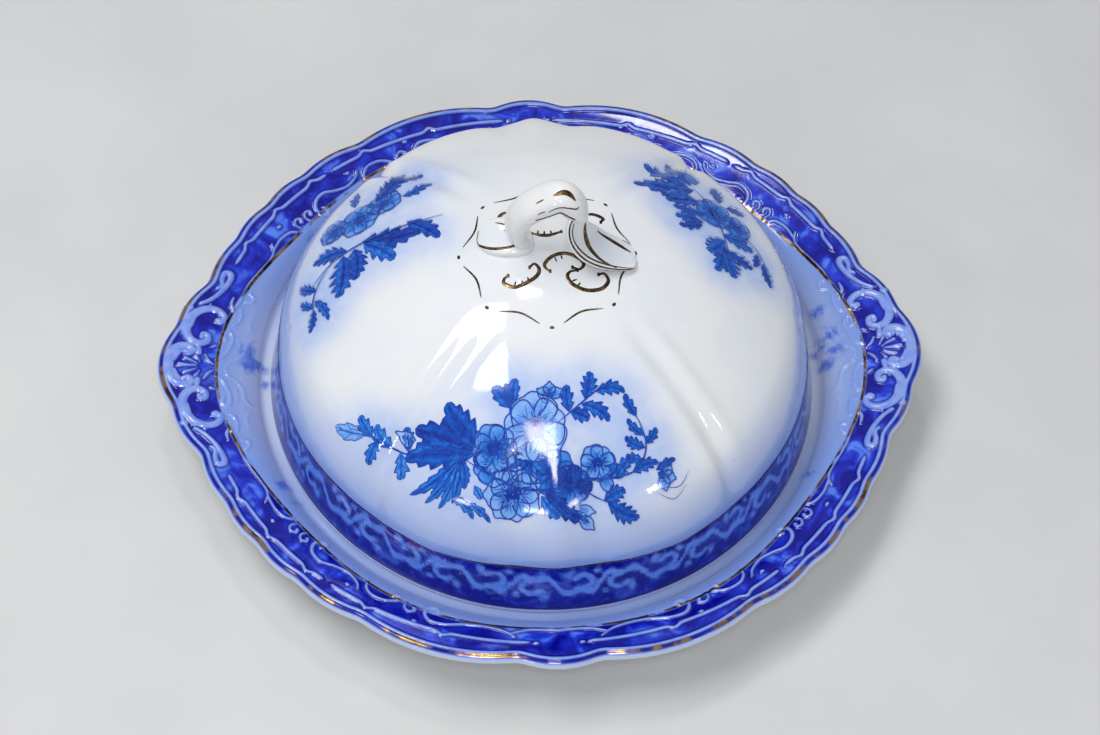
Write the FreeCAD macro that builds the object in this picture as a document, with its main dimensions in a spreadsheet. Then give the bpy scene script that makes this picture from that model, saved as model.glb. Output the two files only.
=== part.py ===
import FreeCAD, Part
import os
import Sketcher

# A covered butter dish in pressed, glazed earthenware: a dish with a scalloped rim and two ears,
# a loose pierced drainer inside it, and a domed cover with a looped ribbon handle.
# Millimetres, +Z up. The origin is on the table, under the middle of the dish.
# +X runs to one ear, so the ears are the ends of the longest side.

SIZES = [
    # Cover: foot, leaning skirt, rounded shoulder and crown.
    ("cover_foot_radius", 71.0), ("cover_wall", 4.2), ("cover_foot_round", 1.2),
    ("skirt_lean", 4.2), ("skirt_height", 18.5), ("shoulder_run", 6.3), ("shoulder_rise", 11.3),
    ("shoulder_bulge", 0.65), ("crown_rise", 24.0),
    # Drainer, inside the cover's foot.
    ("drainer_to_cover_gap", 6.8), ("drainer_thickness", 4.0), ("drainer_edge_radius", 1.2),
    ("lift_hole_radius", 6.0), ("drain_hole_radius", 2.5),
    ("inner_ring_gap", 14.0), ("outer_ring_inset", 12.0),
    # Dish: foot ring, well and the two seats.
    ("foot_height", 2.6), ("foot_width", 5.0), ("base_thickness", 3.6), ("sump_depth", 5.2),
    ("ledge_width", 8.0), ("drainer_side_gap", 0.6), ("seat_step", 0.8), ("cover_side_gap", 1.2),
    ("seat_thickness", 4.4), ("heel_run", 6.0), ("corner_radius", 1.2),
    # Dish: sloping wall and broad rim.
    ("wall_run", 6.3), ("wall_rise", 5.0), ("wall_sag", 0.6), ("rim_rise", 4.6), ("rim_crown", 0.8),
    ("rim_thickness", 3.4),
    # Dish: scalloped outline, as widths of the rim outside the sloping wall.
    ("ear_width", 20.5), ("ear_notch_width", 17.1), ("side_width", 12.5), ("front_width", 7.7),
    ("ear_rise", 1.3), ("small_lobe_rise", 0.9), ("broad_lobe_rise", 2.2), ("cusp_rise", 2.5),
    ("trim_margin", 3.0),
    # Handle, stuck to the crown.
    ("loop_half_width", 7.5), ("loop_rise", 20.6), ("strap_thickness", 6.6), ("strap_width", 8.4),
    ("handle_turn", -8.0), ("ribbon_thickness", 3.0),
    ("left_ribbon_length", 9.9), ("left_ribbon_half_width", 4.8), ("left_ribbon_offset", 1.6),
    ("right_ribbon_length", 13.7), ("right_ribbon_half_width", 3.9), ("right_ribbon_offset", 0.8),
]

INNER_RING_HOLES = 6
OUTER_RING_HOLES = 12

# Angles, in degrees from an ear, of the notches between the lobes in one quarter of the rim.
EAR_NOTCH_ANGLE = 7.5
SMALL_NOTCH_ANGLES = [17.0, 27.0, 36.0, 45.0, 57.0]
CUSP_NOTCH_ANGLE = 84.0

# Places that several pieces share, as sheet expressions made from the sizes above.
FLOOR = "(Sizes.foot_height + Sizes.base_thickness)"
DRAINER_SEAT = f"({FLOOR} + Sizes.sump_depth)"
COVER_SEAT = f"({DRAINER_SEAT} + Sizes.seat_step)"
DRAINER_RADIUS = "(Sizes.cover_foot_radius - Sizes.cover_wall - Sizes.drainer_to_cover_gap)"
RECESS_RADIUS = f"({DRAINER_RADIUS} + Sizes.drainer_side_gap)"
SUMP_RADIUS = f"({DRAINER_RADIUS} - Sizes.ledge_width)"
WALL_FOOT_RADIUS = "(Sizes.cover_foot_radius + Sizes.cover_side_gap)"
RIM_INNER_RADIUS = f"({WALL_FOOT_RADIUS} + Sizes.wall_run)"
RIM_INNER_HEIGHT = f"({COVER_SEAT} + Sizes.wall_rise)"
RIM_EDGE_HEIGHT = f"({RIM_INNER_HEIGHT} + Sizes.rim_rise)"
EAR_REACH = f"({RIM_INNER_RADIUS} + Sizes.ear_width)"
EAR_NOTCH_RADIUS = f"({RIM_INNER_RADIUS} + Sizes.ear_notch_width)"
BLANK_RADIUS = f"({EAR_REACH} + Sizes.trim_margin)"
SKIRT_TOP_RADIUS = "(Sizes.cover_foot_radius - Sizes.skirt_lean)"
SKIRT_TOP_HEIGHT = f"({COVER_SEAT} + Sizes.skirt_height)"
SHOULDER_RADIUS = f"({SKIRT_TOP_RADIUS} - Sizes.shoulder_run)"
CROWN_TOP = f"({SKIRT_TOP_HEIGHT} + Sizes.shoulder_rise + Sizes.crown_rise)"
CROWN_RADIUS = f"(({SHOULDER_RADIUS} ^ 2 + Sizes.crown_rise ^ 2) / (2 * Sizes.crown_rise))"
CROWN_CENTRE = f"({CROWN_TOP} - {CROWN_RADIUS})"
SHOULDER_ANGLE = f"asin({SHOULDER_RADIUS} / {CROWN_RADIUS})"
LOOP_TOP = f"({CROWN_TOP} + Sizes.loop_rise)"

X_AXIS_LINE = -1
Y_AXIS_LINE = -2
ORIGIN_POINT = (-1, 1)

doc = FreeCAD.newDocument("butter_dish")


def fill_sheet():
    sheet = doc.addObject("Spreadsheet::Sheet", "Sizes")
    for row, (alias, value) in enumerate(SIZES, start=1):
        sheet.set(f"A{row}", alias)
        sheet.set(f"B{row}", str(value))
        sheet.setAlias(f"B{row}", alias)
    doc.recompute()
    return sheet


def new_body(label):
    body = doc.addObject("PartDesign::Body", label)
    body.Label = label
    return body


def new_sketch(body, name, role):
    """A sketch on one of the body's own origin planes, such as XZ_Plane."""
    sketch = body.newObject("Sketcher::SketchObject", name)
    plane = next(item for item in body.Origin.OriginFeatures if item.Role == role)
    sketch.AttachmentSupport = [(plane, "")]
    sketch.MapMode = "FlatFace"
    return sketch


def number(holder, expression):
    return float(holder.evalExpression(expression))


def place(sketch, pair):
    """The point that a pair of expressions gives now."""
    return FreeCAD.Vector(number(sketch, pair[0]), number(sketch, pair[1]), 0)


def bind_size(sketch, constraint, expression):
    index = sketch.addConstraint(constraint)
    sketch.setExpression(f"Constraints[{index}]", expression)


def pin(sketch, geometry, point, pair):
    """Ties a sketch point to its two expressions."""
    for kind, axis_line, expression in zip(("DistanceX", "DistanceY"), (Y_AXIS_LINE, X_AXIS_LINE), pair):
        if expression == "0":
            sketch.addConstraint(Sketcher.Constraint("PointOnObject", geometry, point, axis_line))
            continue
        value = number(sketch, expression)
        bind_size(sketch, Sketcher.Constraint(kind, *ORIGIN_POINT, geometry, point, value), expression)


def add_arc(sketch, start, middle, end):
    """An arc through three points; returns the edge and which of its ends are start and end."""
    anticlockwise = (middle - start).cross(end - start).z > 0
    if anticlockwise:
        return sketch.addGeometry(Part.Arc(start, middle, end)), 1, 2
    return sketch.addGeometry(Part.Arc(end, middle, start)), 2, 1


def draw_outline(sketch, start, steps):
    """A closed outline. A step is (end,) for a line or (end, middle) for an arc through middle."""
    first = None
    last = None
    here = start
    for end, *middle in steps:
        if middle:
            via = place(sketch, middle[0])
            edge, tail, head = add_arc(sketch, place(sketch, here), via, place(sketch, end))
            mark = sketch.addGeometry(Part.Point(via), True)
            pin(sketch, mark, 1, middle[0])
            sketch.addConstraint(Sketcher.Constraint("PointOnObject", mark, 1, edge))
        else:
            edge = sketch.addGeometry(Part.LineSegment(place(sketch, here), place(sketch, end)))
            tail, head = 1, 2
        pin(sketch, edge, tail, here)
        if last:
            sketch.addConstraint(Sketcher.Constraint("Coincident", *last, edge, tail))
        first = first or (edge, tail)
        last = (edge, head)
        here = end
    sketch.addConstraint(Sketcher.Constraint("Coincident", *last, *first))


def draw_circle(sketch, centre, radius):
    circle = Part.Circle(place(sketch, centre), FreeCAD.Vector(0, 0, 1), number(sketch, radius))
    edge = sketch.addGeometry(circle)
    pin(sketch, edge, 3, centre)
    bind_size(sketch, Sketcher.Constraint("Radius", edge, number(sketch, radius)), radius)


def draw_oval(sketch, centre, across, along):
    """An ellipse with its long axis along the sketch's Y; across is the size along X."""
    middle = place(sketch, centre)
    long_end = middle + FreeCAD.Vector(0, number(sketch, along) / 2, 0)
    short_end = middle + FreeCAD.Vector(number(sketch, across) / 2, 0, 0)
    edge = sketch.addGeometry(Part.Ellipse(long_end, short_end, middle))
    sketch.exposeInternalGeometry(edge)
    long_axis, short_axis = edge + 1, edge + 2
    pin(sketch, edge, 3, centre)
    sketch.addConstraint(Sketcher.Constraint("Vertical", long_axis))
    bind_size(sketch, Sketcher.Constraint("Distance", long_axis, number(sketch, along)), along)
    bind_size(sketch, Sketcher.Constraint("Distance", short_axis, number(sketch, across)), across)


def spin(body, kind, name, sketch):
    """A Revolution or Groove of the sketch, once round the Z axis."""
    feature = body.newObject(f"PartDesign::{kind}", name)
    feature.Profile = sketch
    feature.ReferenceAxis = (sketch, ["V_Axis"])
    feature.Angle = 360
    return feature


def cut_through(body, name, sketch):
    """A pocket from the XY plane up through everything, checked to remove material."""
    doc.recompute()
    before = body.Shape.Volume
    pocket = body.newObject("PartDesign::Pocket", name)
    pocket.Profile = sketch
    pocket.Type = "ThroughAll"
    pocket.Reversed = True
    doc.recompute()
    if body.Shape.Volume > before - 1:
        raise RuntimeError(f"{name} cuts nothing")
    return pocket


def round_edges(body, name, radius, wanted):
    """Fillets the edges of the body's tip for which wanted(edge) holds."""
    doc.recompute()
    base = body.Tip
    names = [f"Edge{i}" for i, edge in enumerate(base.Shape.Edges, start=1) if wanted(edge)]
    fillet = body.newObject("PartDesign::Fillet", name)
    fillet.Base = (base, names)
    fillet.setExpression("Radius", radius)


def is_circle_at(edge, radius, height):
    """Whether an edge is a circle of this radius and height about the Z axis."""
    if edge.Degenerated or not isinstance(edge.Curve, Part.Circle):
        return False
    curve = edge.Curve
    return abs(curve.Radius - radius) < 0.01 and abs(curve.Center.z - height) < 0.01


def polar(radius, angle):
    """A point of the rim's outline, as a pair of expressions."""
    return (f"{radius} * cos({angle})", f"{radius} * sin({angle})")


def base_radius(angle):
    """Radius of the rim between the ears, which narrows evenly towards the cusp."""
    share = (angle - SMALL_NOTCH_ANGLES[0]) / (CUSP_NOTCH_ANGLE - SMALL_NOTCH_ANGLES[0])
    return f"({RIM_INNER_RADIUS} + Sizes.side_width + (Sizes.front_width - Sizes.side_width) * {share:.4f})"


def quarter_lobes():
    """The lobes from beside an ear to beside the cusp, as (start, middle, end) (angle, radius) points."""
    notches = [(EAR_NOTCH_ANGLE, EAR_NOTCH_RADIUS)]
    notches += [(angle, base_radius(angle)) for angle in SMALL_NOTCH_ANGLES + [CUSP_NOTCH_ANGLE]]
    rises = ["Sizes.ear_rise"] + ["Sizes.small_lobe_rise"] * (len(SMALL_NOTCH_ANGLES) - 1)
    rises += ["Sizes.broad_lobe_rise"]
    lobes = []
    for (angle_a, radius_a), (angle_b, radius_b), rise in zip(notches, notches[1:], rises):
        middle = ((angle_a + angle_b) / 2, f"(({radius_a} + {radius_b}) / 2 + {rise})")
        lobes.append(((angle_a, radius_a), middle, (angle_b, radius_b)))
    return lobes


def rim_steps():
    """The whole outline, anticlockwise from the notch below the right ear."""
    quarter = quarter_lobes()
    cusp_radius = f"({base_radius(CUSP_NOTCH_ANGLE)} + Sizes.cusp_rise)"
    steps = []
    for turn in (0, 180):
        ear_end = (turn + EAR_NOTCH_ANGLE, EAR_NOTCH_RADIUS)
        steps.append((ear_end, (turn, EAR_REACH)))
        steps += [((turn + end[0], end[1]), (turn + mid[0], mid[1])) for _, mid, end in quarter]
        cusp_end = (turn + 180 - CUSP_NOTCH_ANGLE, base_radius(CUSP_NOTCH_ANGLE))
        steps.append((cusp_end, (turn + 90, cusp_radius)))
        steps += [((turn + 180 - start[0], start[1]), (turn + 180 - mid[0], mid[1]))
                  for start, mid, _ in reversed(quarter)]
    return [(polar(end[1], end[0]), polar(mid[1], mid[0])) for end, mid in steps]


def make_dish():
    body = new_body("dish")
    profile = new_sketch(body, "dish_profile", "XZ_Plane")
    wall_middle = (f"(({WALL_FOOT_RADIUS} + {RIM_INNER_RADIUS}) / 2 + Sizes.wall_sag)",
                   f"(({COVER_SEAT} + {RIM_INNER_HEIGHT}) / 2 - Sizes.wall_sag)")
    rim_middle = (f"(({RIM_INNER_RADIUS} + {BLANK_RADIUS}) / 2)",
                  f"(({RIM_INNER_HEIGHT} + {RIM_EDGE_HEIGHT}) / 2 + Sizes.rim_crown)")
    seat_underside = f"({COVER_SEAT} - Sizes.seat_thickness)"
    foot_inside = f"({SUMP_RADIUS} - Sizes.foot_width)"
    draw_outline(profile, ("0", FLOOR), [
        ((SUMP_RADIUS, FLOOR),),
        ((SUMP_RADIUS, DRAINER_SEAT),),
        ((RECESS_RADIUS, DRAINER_SEAT),),
        ((RECESS_RADIUS, COVER_SEAT),),
        ((WALL_FOOT_RADIUS, COVER_SEAT),),
        ((RIM_INNER_RADIUS, RIM_INNER_HEIGHT), wall_middle),
        ((BLANK_RADIUS, RIM_EDGE_HEIGHT), rim_middle),
        ((BLANK_RADIUS, f"({RIM_EDGE_HEIGHT} - Sizes.rim_thickness)"),),
        ((RIM_INNER_RADIUS, f"({RIM_INNER_HEIGHT} - Sizes.rim_thickness)"),),
        ((WALL_FOOT_RADIUS, seat_underside),),
        ((f"({SUMP_RADIUS} + Sizes.heel_run)", f"({DRAINER_SEAT} - Sizes.seat_thickness)"),),
        ((SUMP_RADIUS, "Sizes.foot_height"),),
        ((SUMP_RADIUS, "0"),),
        ((foot_inside, "0"),),
        ((foot_inside, "Sizes.foot_height"),),
        (("0", "Sizes.foot_height"),),
        (("0", FLOOR),),
    ])
    spin(body, "Revolution", "dish_revolution", profile)

    trim = new_sketch(body, "rim_trim", "XY_Plane")
    steps = rim_steps()
    draw_outline(trim, steps[-1][0], steps)
    draw_circle(trim, ("0", "0"), f"({BLANK_RADIUS} + Sizes.trim_margin)")
    cut_through(body, "rim_scallops", trim)

    floor = number(profile, FLOOR)
    corner = number(profile, SUMP_RADIUS)
    round_edges(body, "sump_corner", "Sizes.corner_radius",
                lambda edge: is_circle_at(edge, corner, floor))
    return body


def make_drainer():
    body = new_body("drainer")
    profile = new_sketch(body, "drainer_profile", "XZ_Plane")
    top = f"({DRAINER_SEAT} + Sizes.drainer_thickness)"
    draw_outline(profile, ("0", DRAINER_SEAT), [
        ((DRAINER_RADIUS, DRAINER_SEAT),),
        ((DRAINER_RADIUS, top),),
        (("0", top),),
        (("0", DRAINER_SEAT),),
    ])
    spin(body, "Revolution", "drainer_disc", profile)

    lift_hole = new_sketch(body, "lift_hole_circle", "XY_Plane")
    draw_circle(lift_hole, ("0", "0"), "Sizes.lift_hole_radius")
    cut_through(body, "lift_hole", lift_hole)
    drain_ring(body, "inner", "(Sizes.lift_hole_radius + Sizes.inner_ring_gap)", INNER_RING_HOLES)
    drain_ring(body, "outer", f"({SUMP_RADIUS} - Sizes.outer_ring_inset)", OUTER_RING_HOLES)

    rim_radius = number(profile, DRAINER_RADIUS)
    heights = (number(profile, DRAINER_SEAT), number(profile, top))
    round_edges(body, "drainer_edges", "Sizes.drainer_edge_radius",
                lambda edge: any(is_circle_at(edge, rim_radius, height) for height in heights))
    return body


def drain_ring(body, name, ring_radius, count):
    """A ring of small holes, as one pocket and its polar pattern."""
    circle = new_sketch(body, f"{name}_hole_circle", "XY_Plane")
    draw_circle(circle, (ring_radius, "0"), "Sizes.drain_hole_radius")
    hole = cut_through(body, f"{name}_hole", circle)
    pattern = body.newObject("PartDesign::PolarPattern", f"{name}_holes")
    pattern.Originals = [hole]
    pattern.Axis = (circle, ["N_Axis"])
    pattern.Angle = 360
    pattern.Occurrences = count
    body.Tip = pattern
    doc.recompute()


def draw_cover_section(sketch, wall):
    """Everything inside a skirt, shoulder and crown that lie wall inside the cover's outer face."""
    foot = (f"(Sizes.cover_foot_radius - {wall})", COVER_SEAT)
    skirt_top = (f"({SKIRT_TOP_RADIUS} - {wall})", SKIRT_TOP_HEIGHT)
    radius = f"({CROWN_RADIUS} - {wall})"
    shoulder = (f"{radius} * sin({SHOULDER_ANGLE})", f"({CROWN_CENTRE} + {radius} * cos({SHOULDER_ANGLE}))")
    crown_middle = (f"{radius} * sin({SHOULDER_ANGLE} / 2)",
                    f"({CROWN_CENTRE} + {radius} * cos({SHOULDER_ANGLE} / 2))")
    shoulder_middle = (f"(({skirt_top[0]} + {shoulder[0]}) / 2 + Sizes.shoulder_bulge)",
                       f"(({skirt_top[1]} + {shoulder[1]}) / 2 + Sizes.shoulder_bulge)")
    apex = ("0", f"({CROWN_CENTRE} + {radius})")
    draw_outline(sketch, ("0", COVER_SEAT), [
        (foot,), (skirt_top,), (shoulder, shoulder_middle), (apex, crown_middle), (("0", COVER_SEAT),),
    ])


def make_cover_dome():
    body = new_body("cover_dome")
    outside = new_sketch(body, "cover_outside", "XZ_Plane")
    draw_cover_section(outside, "0")
    spin(body, "Revolution", "cover_solid", outside)
    doc.recompute()
    full = body.Shape.Volume
    inside = new_sketch(body, "cover_inside", "XZ_Plane")
    draw_cover_section(inside, "Sizes.cover_wall")
    spin(body, "Groove", "cover_hollow", inside)
    doc.recompute()
    if body.Shape.Volume > 0.5 * full:
        raise RuntimeError("the cover is not hollow")
    seat = number(outside, COVER_SEAT)
    radii = (number(outside, "Sizes.cover_foot_radius"),
             number(outside, "Sizes.cover_foot_radius - Sizes.cover_wall"))
    round_edges(body, "cover_foot", "Sizes.cover_foot_round",
                lambda edge: any(is_circle_at(edge, radius, seat) for radius in radii))
    return body


def cut_by_crown(body):
    """Shapes the underside of a piece to the crown that it is stuck on."""
    ball = body.newObject("PartDesign::SubtractiveSphere", f"{body.Name}_crown")
    ball.setExpression("Radius", CROWN_RADIUS)
    ball.setExpression("Placement.Base.z", CROWN_CENTRE)


def turn_handle(body):
    """Turns a handle piece about the Z axis by the angle at which the handle was stuck on."""
    turn = number(body, "Sizes.handle_turn")
    body.Placement = FreeCAD.Placement(FreeCAD.Vector(), FreeCAD.Rotation(FreeCAD.Vector(0, 0, 1), turn))


def make_handle_loop():
    body = new_body("handle_loop")
    section = new_sketch(body, "strap_section", "XY_Plane")
    draw_oval(section, ("-Sizes.loop_half_width", "0"), "Sizes.strap_thickness", "Sizes.strap_width")

    path = new_sketch(body, "loop_path", "XZ_Plane")
    spring = f"({LOOP_TOP} - Sizes.loop_half_width)"
    corners = [("-Sizes.loop_half_width", "0"), ("-Sizes.loop_half_width", spring),
               ("Sizes.loop_half_width", spring), ("Sizes.loop_half_width", "0")]
    points = [place(path, corner) for corner in corners]
    top = place(path, ("0", LOOP_TOP))
    left_leg = path.addGeometry(Part.LineSegment(points[0], points[1]))
    arch, arch_left, arch_right = add_arc(path, points[1], top, points[2])
    right_leg = path.addGeometry(Part.LineSegment(points[2], points[3]))
    pin(path, left_leg, 1, corners[0])
    pin(path, right_leg, 2, corners[3])
    for leg in (left_leg, right_leg):
        path.addConstraint(Sketcher.Constraint("Vertical", leg))
    path.addConstraint(Sketcher.Constraint("Tangent", left_leg, 2, arch, arch_left))
    path.addConstraint(Sketcher.Constraint("Tangent", arch, arch_right, right_leg, 1))
    spring_height = Sketcher.Constraint("DistanceY", *ORIGIN_POINT, arch, 3, number(path, spring))
    bind_size(path, spring_height, spring)

    strap = body.newObject("PartDesign::AdditivePipe", "strap")
    strap.Profile = section
    strap.Spine = (path, [])
    cut_by_crown(body)
    turn_handle(body)
    return body


def make_ribbon_end(side, sign):
    """A flat ribbon end that lies on the crown, from a leg of the loop outwards."""
    body = new_body(f"handle_leaf_{side}")
    reach = f"({sign}1 * (Sizes.loop_half_width + Sizes.{side}_ribbon_length))"
    half_width = f"Sizes.{side}_ribbon_half_width"
    offset = f"Sizes.{side}_ribbon_offset"
    root = f"{sign}1 * Sizes.loop_half_width"
    bend = f"({reach} - {sign}1 * {half_width})"

    layer = new_sketch(body, "ribbon_layer", "XZ_Plane")
    radius = f"({CROWN_RADIUS} + Sizes.ribbon_thickness)"
    disc_radius = f"(Sizes.loop_half_width + Sizes.{side}_ribbon_length + 2 * Sizes.trim_margin)"
    spread = f"asin({disc_radius} / {radius})"
    draw_outline(layer, ("0", CROWN_CENTRE), [
        ((f"{radius} * sin({spread})", f"({CROWN_CENTRE} + {radius} * cos({spread}))"),),
        (("0", f"({CROWN_CENTRE} + {radius})"),
         (f"{radius} * sin({spread} / 2)", f"({CROWN_CENTRE} + {radius} * cos({spread} / 2))")),
        (("0", CROWN_CENTRE),),
    ])
    spin(body, "Revolution", "ribbon_disc", layer)

    outline = new_sketch(body, "ribbon_outline", "XY_Plane")
    draw_outline(outline, (root, f"({offset} - {half_width})"), [
        ((bend, f"({offset} - {half_width})"),),
        ((bend, f"({offset} + {half_width})"), (reach, offset)),
        ((root, f"({offset} + {half_width})"),),
        ((root, f"({offset} - {half_width})"),),
    ])
    draw_circle(outline, ("0", "0"), f"({disc_radius} + Sizes.trim_margin)")
    cut_through(body, "ribbon_trim", outline)

    leg = new_sketch(body, "leg_section", "XY_Plane")
    draw_oval(leg, (root, "0"), "Sizes.strap_thickness", "Sizes.strap_width")
    cut_through(body, "leg_notch", leg)
    cut_by_crown(body)
    turn_handle(body)
    return body


def check_document(bodies):
    for item in doc.Objects:
        if "Invalid" in item.State or "Error" in item.State:
            raise RuntimeError(f"{item.Label} failed: {item.State}")
    for body in bodies:
        shape = body.Shape
        if shape.isNull() or not shape.isValid() or len(shape.Solids) != 1:
            raise RuntimeError(f"{body.Label} is not one valid solid")


def write_parts(bodies):
    os.makedirs("parts", exist_ok=True)
    for body in bodies:
        body.Shape.exportStep(os.path.join("parts", f"{body.Label}.step"))
        print(f"{body.Label}: {body.Shape.Volume / 1000:.1f} cm3, {body.Shape.BoundBox}")


fill_sheet()
pieces = [
    make_dish(),
    make_drainer(),
    make_cover_dome(),
    make_handle_loop(),
    make_ribbon_end("left", "-"),
    make_ribbon_end("right", "+"),
]
doc.recompute()
check_document(pieces)
write_parts(pieces)
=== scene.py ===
"""The looks of the covered butter dish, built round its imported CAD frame.

Lengths in this script are in millimetres until a mesh, light or camera is made, and Blender gets
metres. Angles round the dish are in degrees, anticlockwise from the right-hand ear (+X)."""

import math

import bmesh
import bpy
import numpy as np
from mathutils import Matrix, Vector


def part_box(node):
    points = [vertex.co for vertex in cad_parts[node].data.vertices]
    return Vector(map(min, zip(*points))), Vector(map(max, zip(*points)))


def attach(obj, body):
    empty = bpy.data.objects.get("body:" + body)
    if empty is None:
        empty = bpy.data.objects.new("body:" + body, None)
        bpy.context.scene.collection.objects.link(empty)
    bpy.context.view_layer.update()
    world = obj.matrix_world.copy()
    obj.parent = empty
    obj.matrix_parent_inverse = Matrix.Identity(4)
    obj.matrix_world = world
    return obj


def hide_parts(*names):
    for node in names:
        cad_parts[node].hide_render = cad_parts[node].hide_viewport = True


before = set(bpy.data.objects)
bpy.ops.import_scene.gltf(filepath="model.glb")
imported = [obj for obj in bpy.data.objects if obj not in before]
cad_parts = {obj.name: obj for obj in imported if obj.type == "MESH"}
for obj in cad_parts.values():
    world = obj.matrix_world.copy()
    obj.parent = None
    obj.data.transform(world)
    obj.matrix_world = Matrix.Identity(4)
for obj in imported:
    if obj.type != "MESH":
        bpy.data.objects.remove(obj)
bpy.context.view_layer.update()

MM = 0.001


def box_mm(node):
    """A CAD node's lowest and highest corners in millimetres."""
    low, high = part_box(node)
    return np.array(low) / MM, np.array(high) / MM


# ---------------------------------------------------------------- sizes, from the frame

COVER_LOW, COVER_HIGH = box_mm("cover_dome")

EAR_RADIUS = box_mm("dish")[1][0]
FOOT_RADIUS = COVER_HIGH[0]
COVER_SEAT = COVER_LOW[2]
APEX = COVER_HIGH[2]
LOOP_TOP = box_mm("handle_loop")[1][2]

# The dish, as in the CAD part.
RIM_INNER = 78.5
RIM_OUTER = 102.0
RIM_LOW = 17.2
RIM_HIGH = 21.8
RIM_ARCH = 0.8
RIM_THICKNESS = 3.4
SEAT_RADIUS = 72.2
CUSP_RADIUS = 88.7
WELL_FLOOR = 6.2
SUMP_RADIUS = 52.0
LEDGE = 11.4
FOOT_RECESS = 2.6

# Only in the looks: the rounding of the rim's edge, and the radius where its relief starts.
LIP = 1.2
RELIEF_START = 73.0

# The rim's outline from ear to cusp: where each notch is, and how far the edge between it and
# the next one swells out.
NOTCHES = [(-7.5, 95.6), (7.5, 95.6), (17.0, 91.0), (27.0, 90.3), (36.0, 89.6), (45.0, 89.0),
           (57.0, 88.1), (83.5, 86.8), (96.5, 86.8)]
SWELLS = [EAR_RADIUS - 95.6, 1.3, 0.9, 0.9, 0.9, 1.0, 1.9, CUSP_RADIUS - 86.8]

# The cover, as in the CAD part.
CROWN_RADIUS = 88.26
SHOULDER_TOP = (60.5, 42.0)
SHOULDER_LOW = (66.8, 30.7)
WALL = 4.2

# Only in the looks: the heights of the cover's cobalt band, the degrees from the front or the
# back to each rib, and the mesh's points round the cover.
BAND_TOP = 28.6
BAND_MIDDLE = 22.6
RIB_ANGLE = 42
COVER_COLUMNS = 600

# ---------------------------------------------------------------- curves


def smooth_line(points, per_span=8):
    """A Catmull-Rom curve through rows of numbers: places, and anything that goes with them."""
    p = np.asarray(points, float)
    p = np.vstack([2 * p[0] - p[1], p, 2 * p[-1] - p[-2]])
    rows = []
    for i in range(1, len(p) - 2):
        for k in range(per_span):
            t = k / per_span
            a = 2 * p[i]
            b = p[i + 1] - p[i - 1]
            c = 2 * p[i - 1] - 5 * p[i] + 4 * p[i + 1] - p[i + 2]
            d = -p[i - 1] + 3 * p[i] - 3 * p[i + 1] + p[i + 2]
            rows.append((a + b * t + c * t * t + d * t ** 3) / 2)
    return np.array(rows + [p[-2]])


def arc_through(start, middle, end, count):
    """Points on the circle through three (r, z) points, both ends included."""
    (ax, ay), (bx, by), (cx, cy) = start, middle, end
    d = 2 * (ax * (by - cy) + bx * (cy - ay) + cx * (ay - by))
    a2, b2, c2 = ax * ax + ay * ay, bx * bx + by * by, cx * cx + cy * cy
    ux = (a2 * (by - cy) + b2 * (cy - ay) + c2 * (ay - by)) / d
    uy = (a2 * (cx - bx) + b2 * (ax - cx) + c2 * (bx - ax)) / d
    first = math.atan2(ay - uy, ax - ux)
    turn = math.remainder(math.atan2(cy - uy, cx - ux) - first, 2 * math.pi)
    angles = first + turn * np.linspace(0, 1, count)
    radius = math.hypot(ax - ux, ay - uy)
    return np.column_stack([ux + radius * np.cos(angles), uy + radius * np.sin(angles)])


def step_up(value, low, high):
    """0 below low, 1 above high, smooth between."""
    t = np.clip((value - low) / (high - low), 0, 1)
    return t * t * (3 - 2 * t)


def hump(value, width):
    """A soft bump of height 1 round zero."""
    return np.exp(-(value / width) ** 2)


def turn_between(angle, centre):
    """Signed degrees from centre to angle."""
    return (angle - centre + 180) % 360 - 180


def from_ear(angle):
    """Degrees to the nearer ear, which mirrors a place in both axes."""
    return np.abs((angle + 90) % 180 - 90)


def from_front(angle):
    """Degrees to the nearer of the front and the back."""
    return np.abs(turn_between(np.asarray(angle, float) % 180, 90))


def line_with_sides(points, steps):
    """A smooth flat line, the unit vectors to its left and a number from 0 to 1 for each point."""
    line = smooth_line(points, steps)
    ahead = np.gradient(line, axis=0)
    ahead /= np.linalg.norm(ahead, axis=1)[:, None] + 1e-9
    side = np.column_stack([-ahead[:, 1], ahead[:, 0]])
    return line, side, np.linspace(0, 1, len(line))


def polar(angle, radius):
    return radius * math.cos(math.radians(angle)), radius * math.sin(math.radians(angle))


# ---------------------------------------------------------------- meshes


def make_mesh(name, points, faces, layers=None):
    """A smooth-shaded mesh object from points in millimetres, with one number per point per layer."""
    mesh = bpy.data.meshes.new(name)
    mesh.from_pydata((np.asarray(points) * MM).tolist(), [], faces)
    for layer, values in (layers or {}).items():
        field = mesh.attributes.new(layer, "FLOAT", "POINT")
        field.data.foreach_set("value", np.asarray(values, np.float32))
    mesh.polygons.foreach_set("use_smooth", [True] * len(mesh.polygons))
    mesh.update()
    piece = bpy.data.objects.new(name, mesh)
    bpy.context.scene.collection.objects.link(piece)
    return piece


def face_outwards(piece):
    """Turns the faces of a closed mesh to face outwards."""
    work = bmesh.new()
    work.from_mesh(piece.data)
    bmesh.ops.recalc_face_normals(work, faces=work.faces)
    work.to_mesh(piece.data)
    work.free()


def ring_faces(first, second, count):
    """Quads between two closed rings of the same count, given by their first indices."""
    i = np.arange(count)
    j = (i + 1) % count
    return np.column_stack([first + i, first + j, second + j, second + i]).tolist()


def ring_to_finer_faces(coarse, fine, count):
    """Triangles from a ring of count points to one of three times as many."""
    faces = []
    for i in range(count):
        a, b = coarse + i, coarse + (i + 1) % count
        f = [fine + (3 * i + k) % (3 * count) for k in range(4)]
        faces += [(a, f[1], f[0]), (a, b, f[1]), (b, f[2], f[1]), (b, f[3], f[2])]
    return faces


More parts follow.
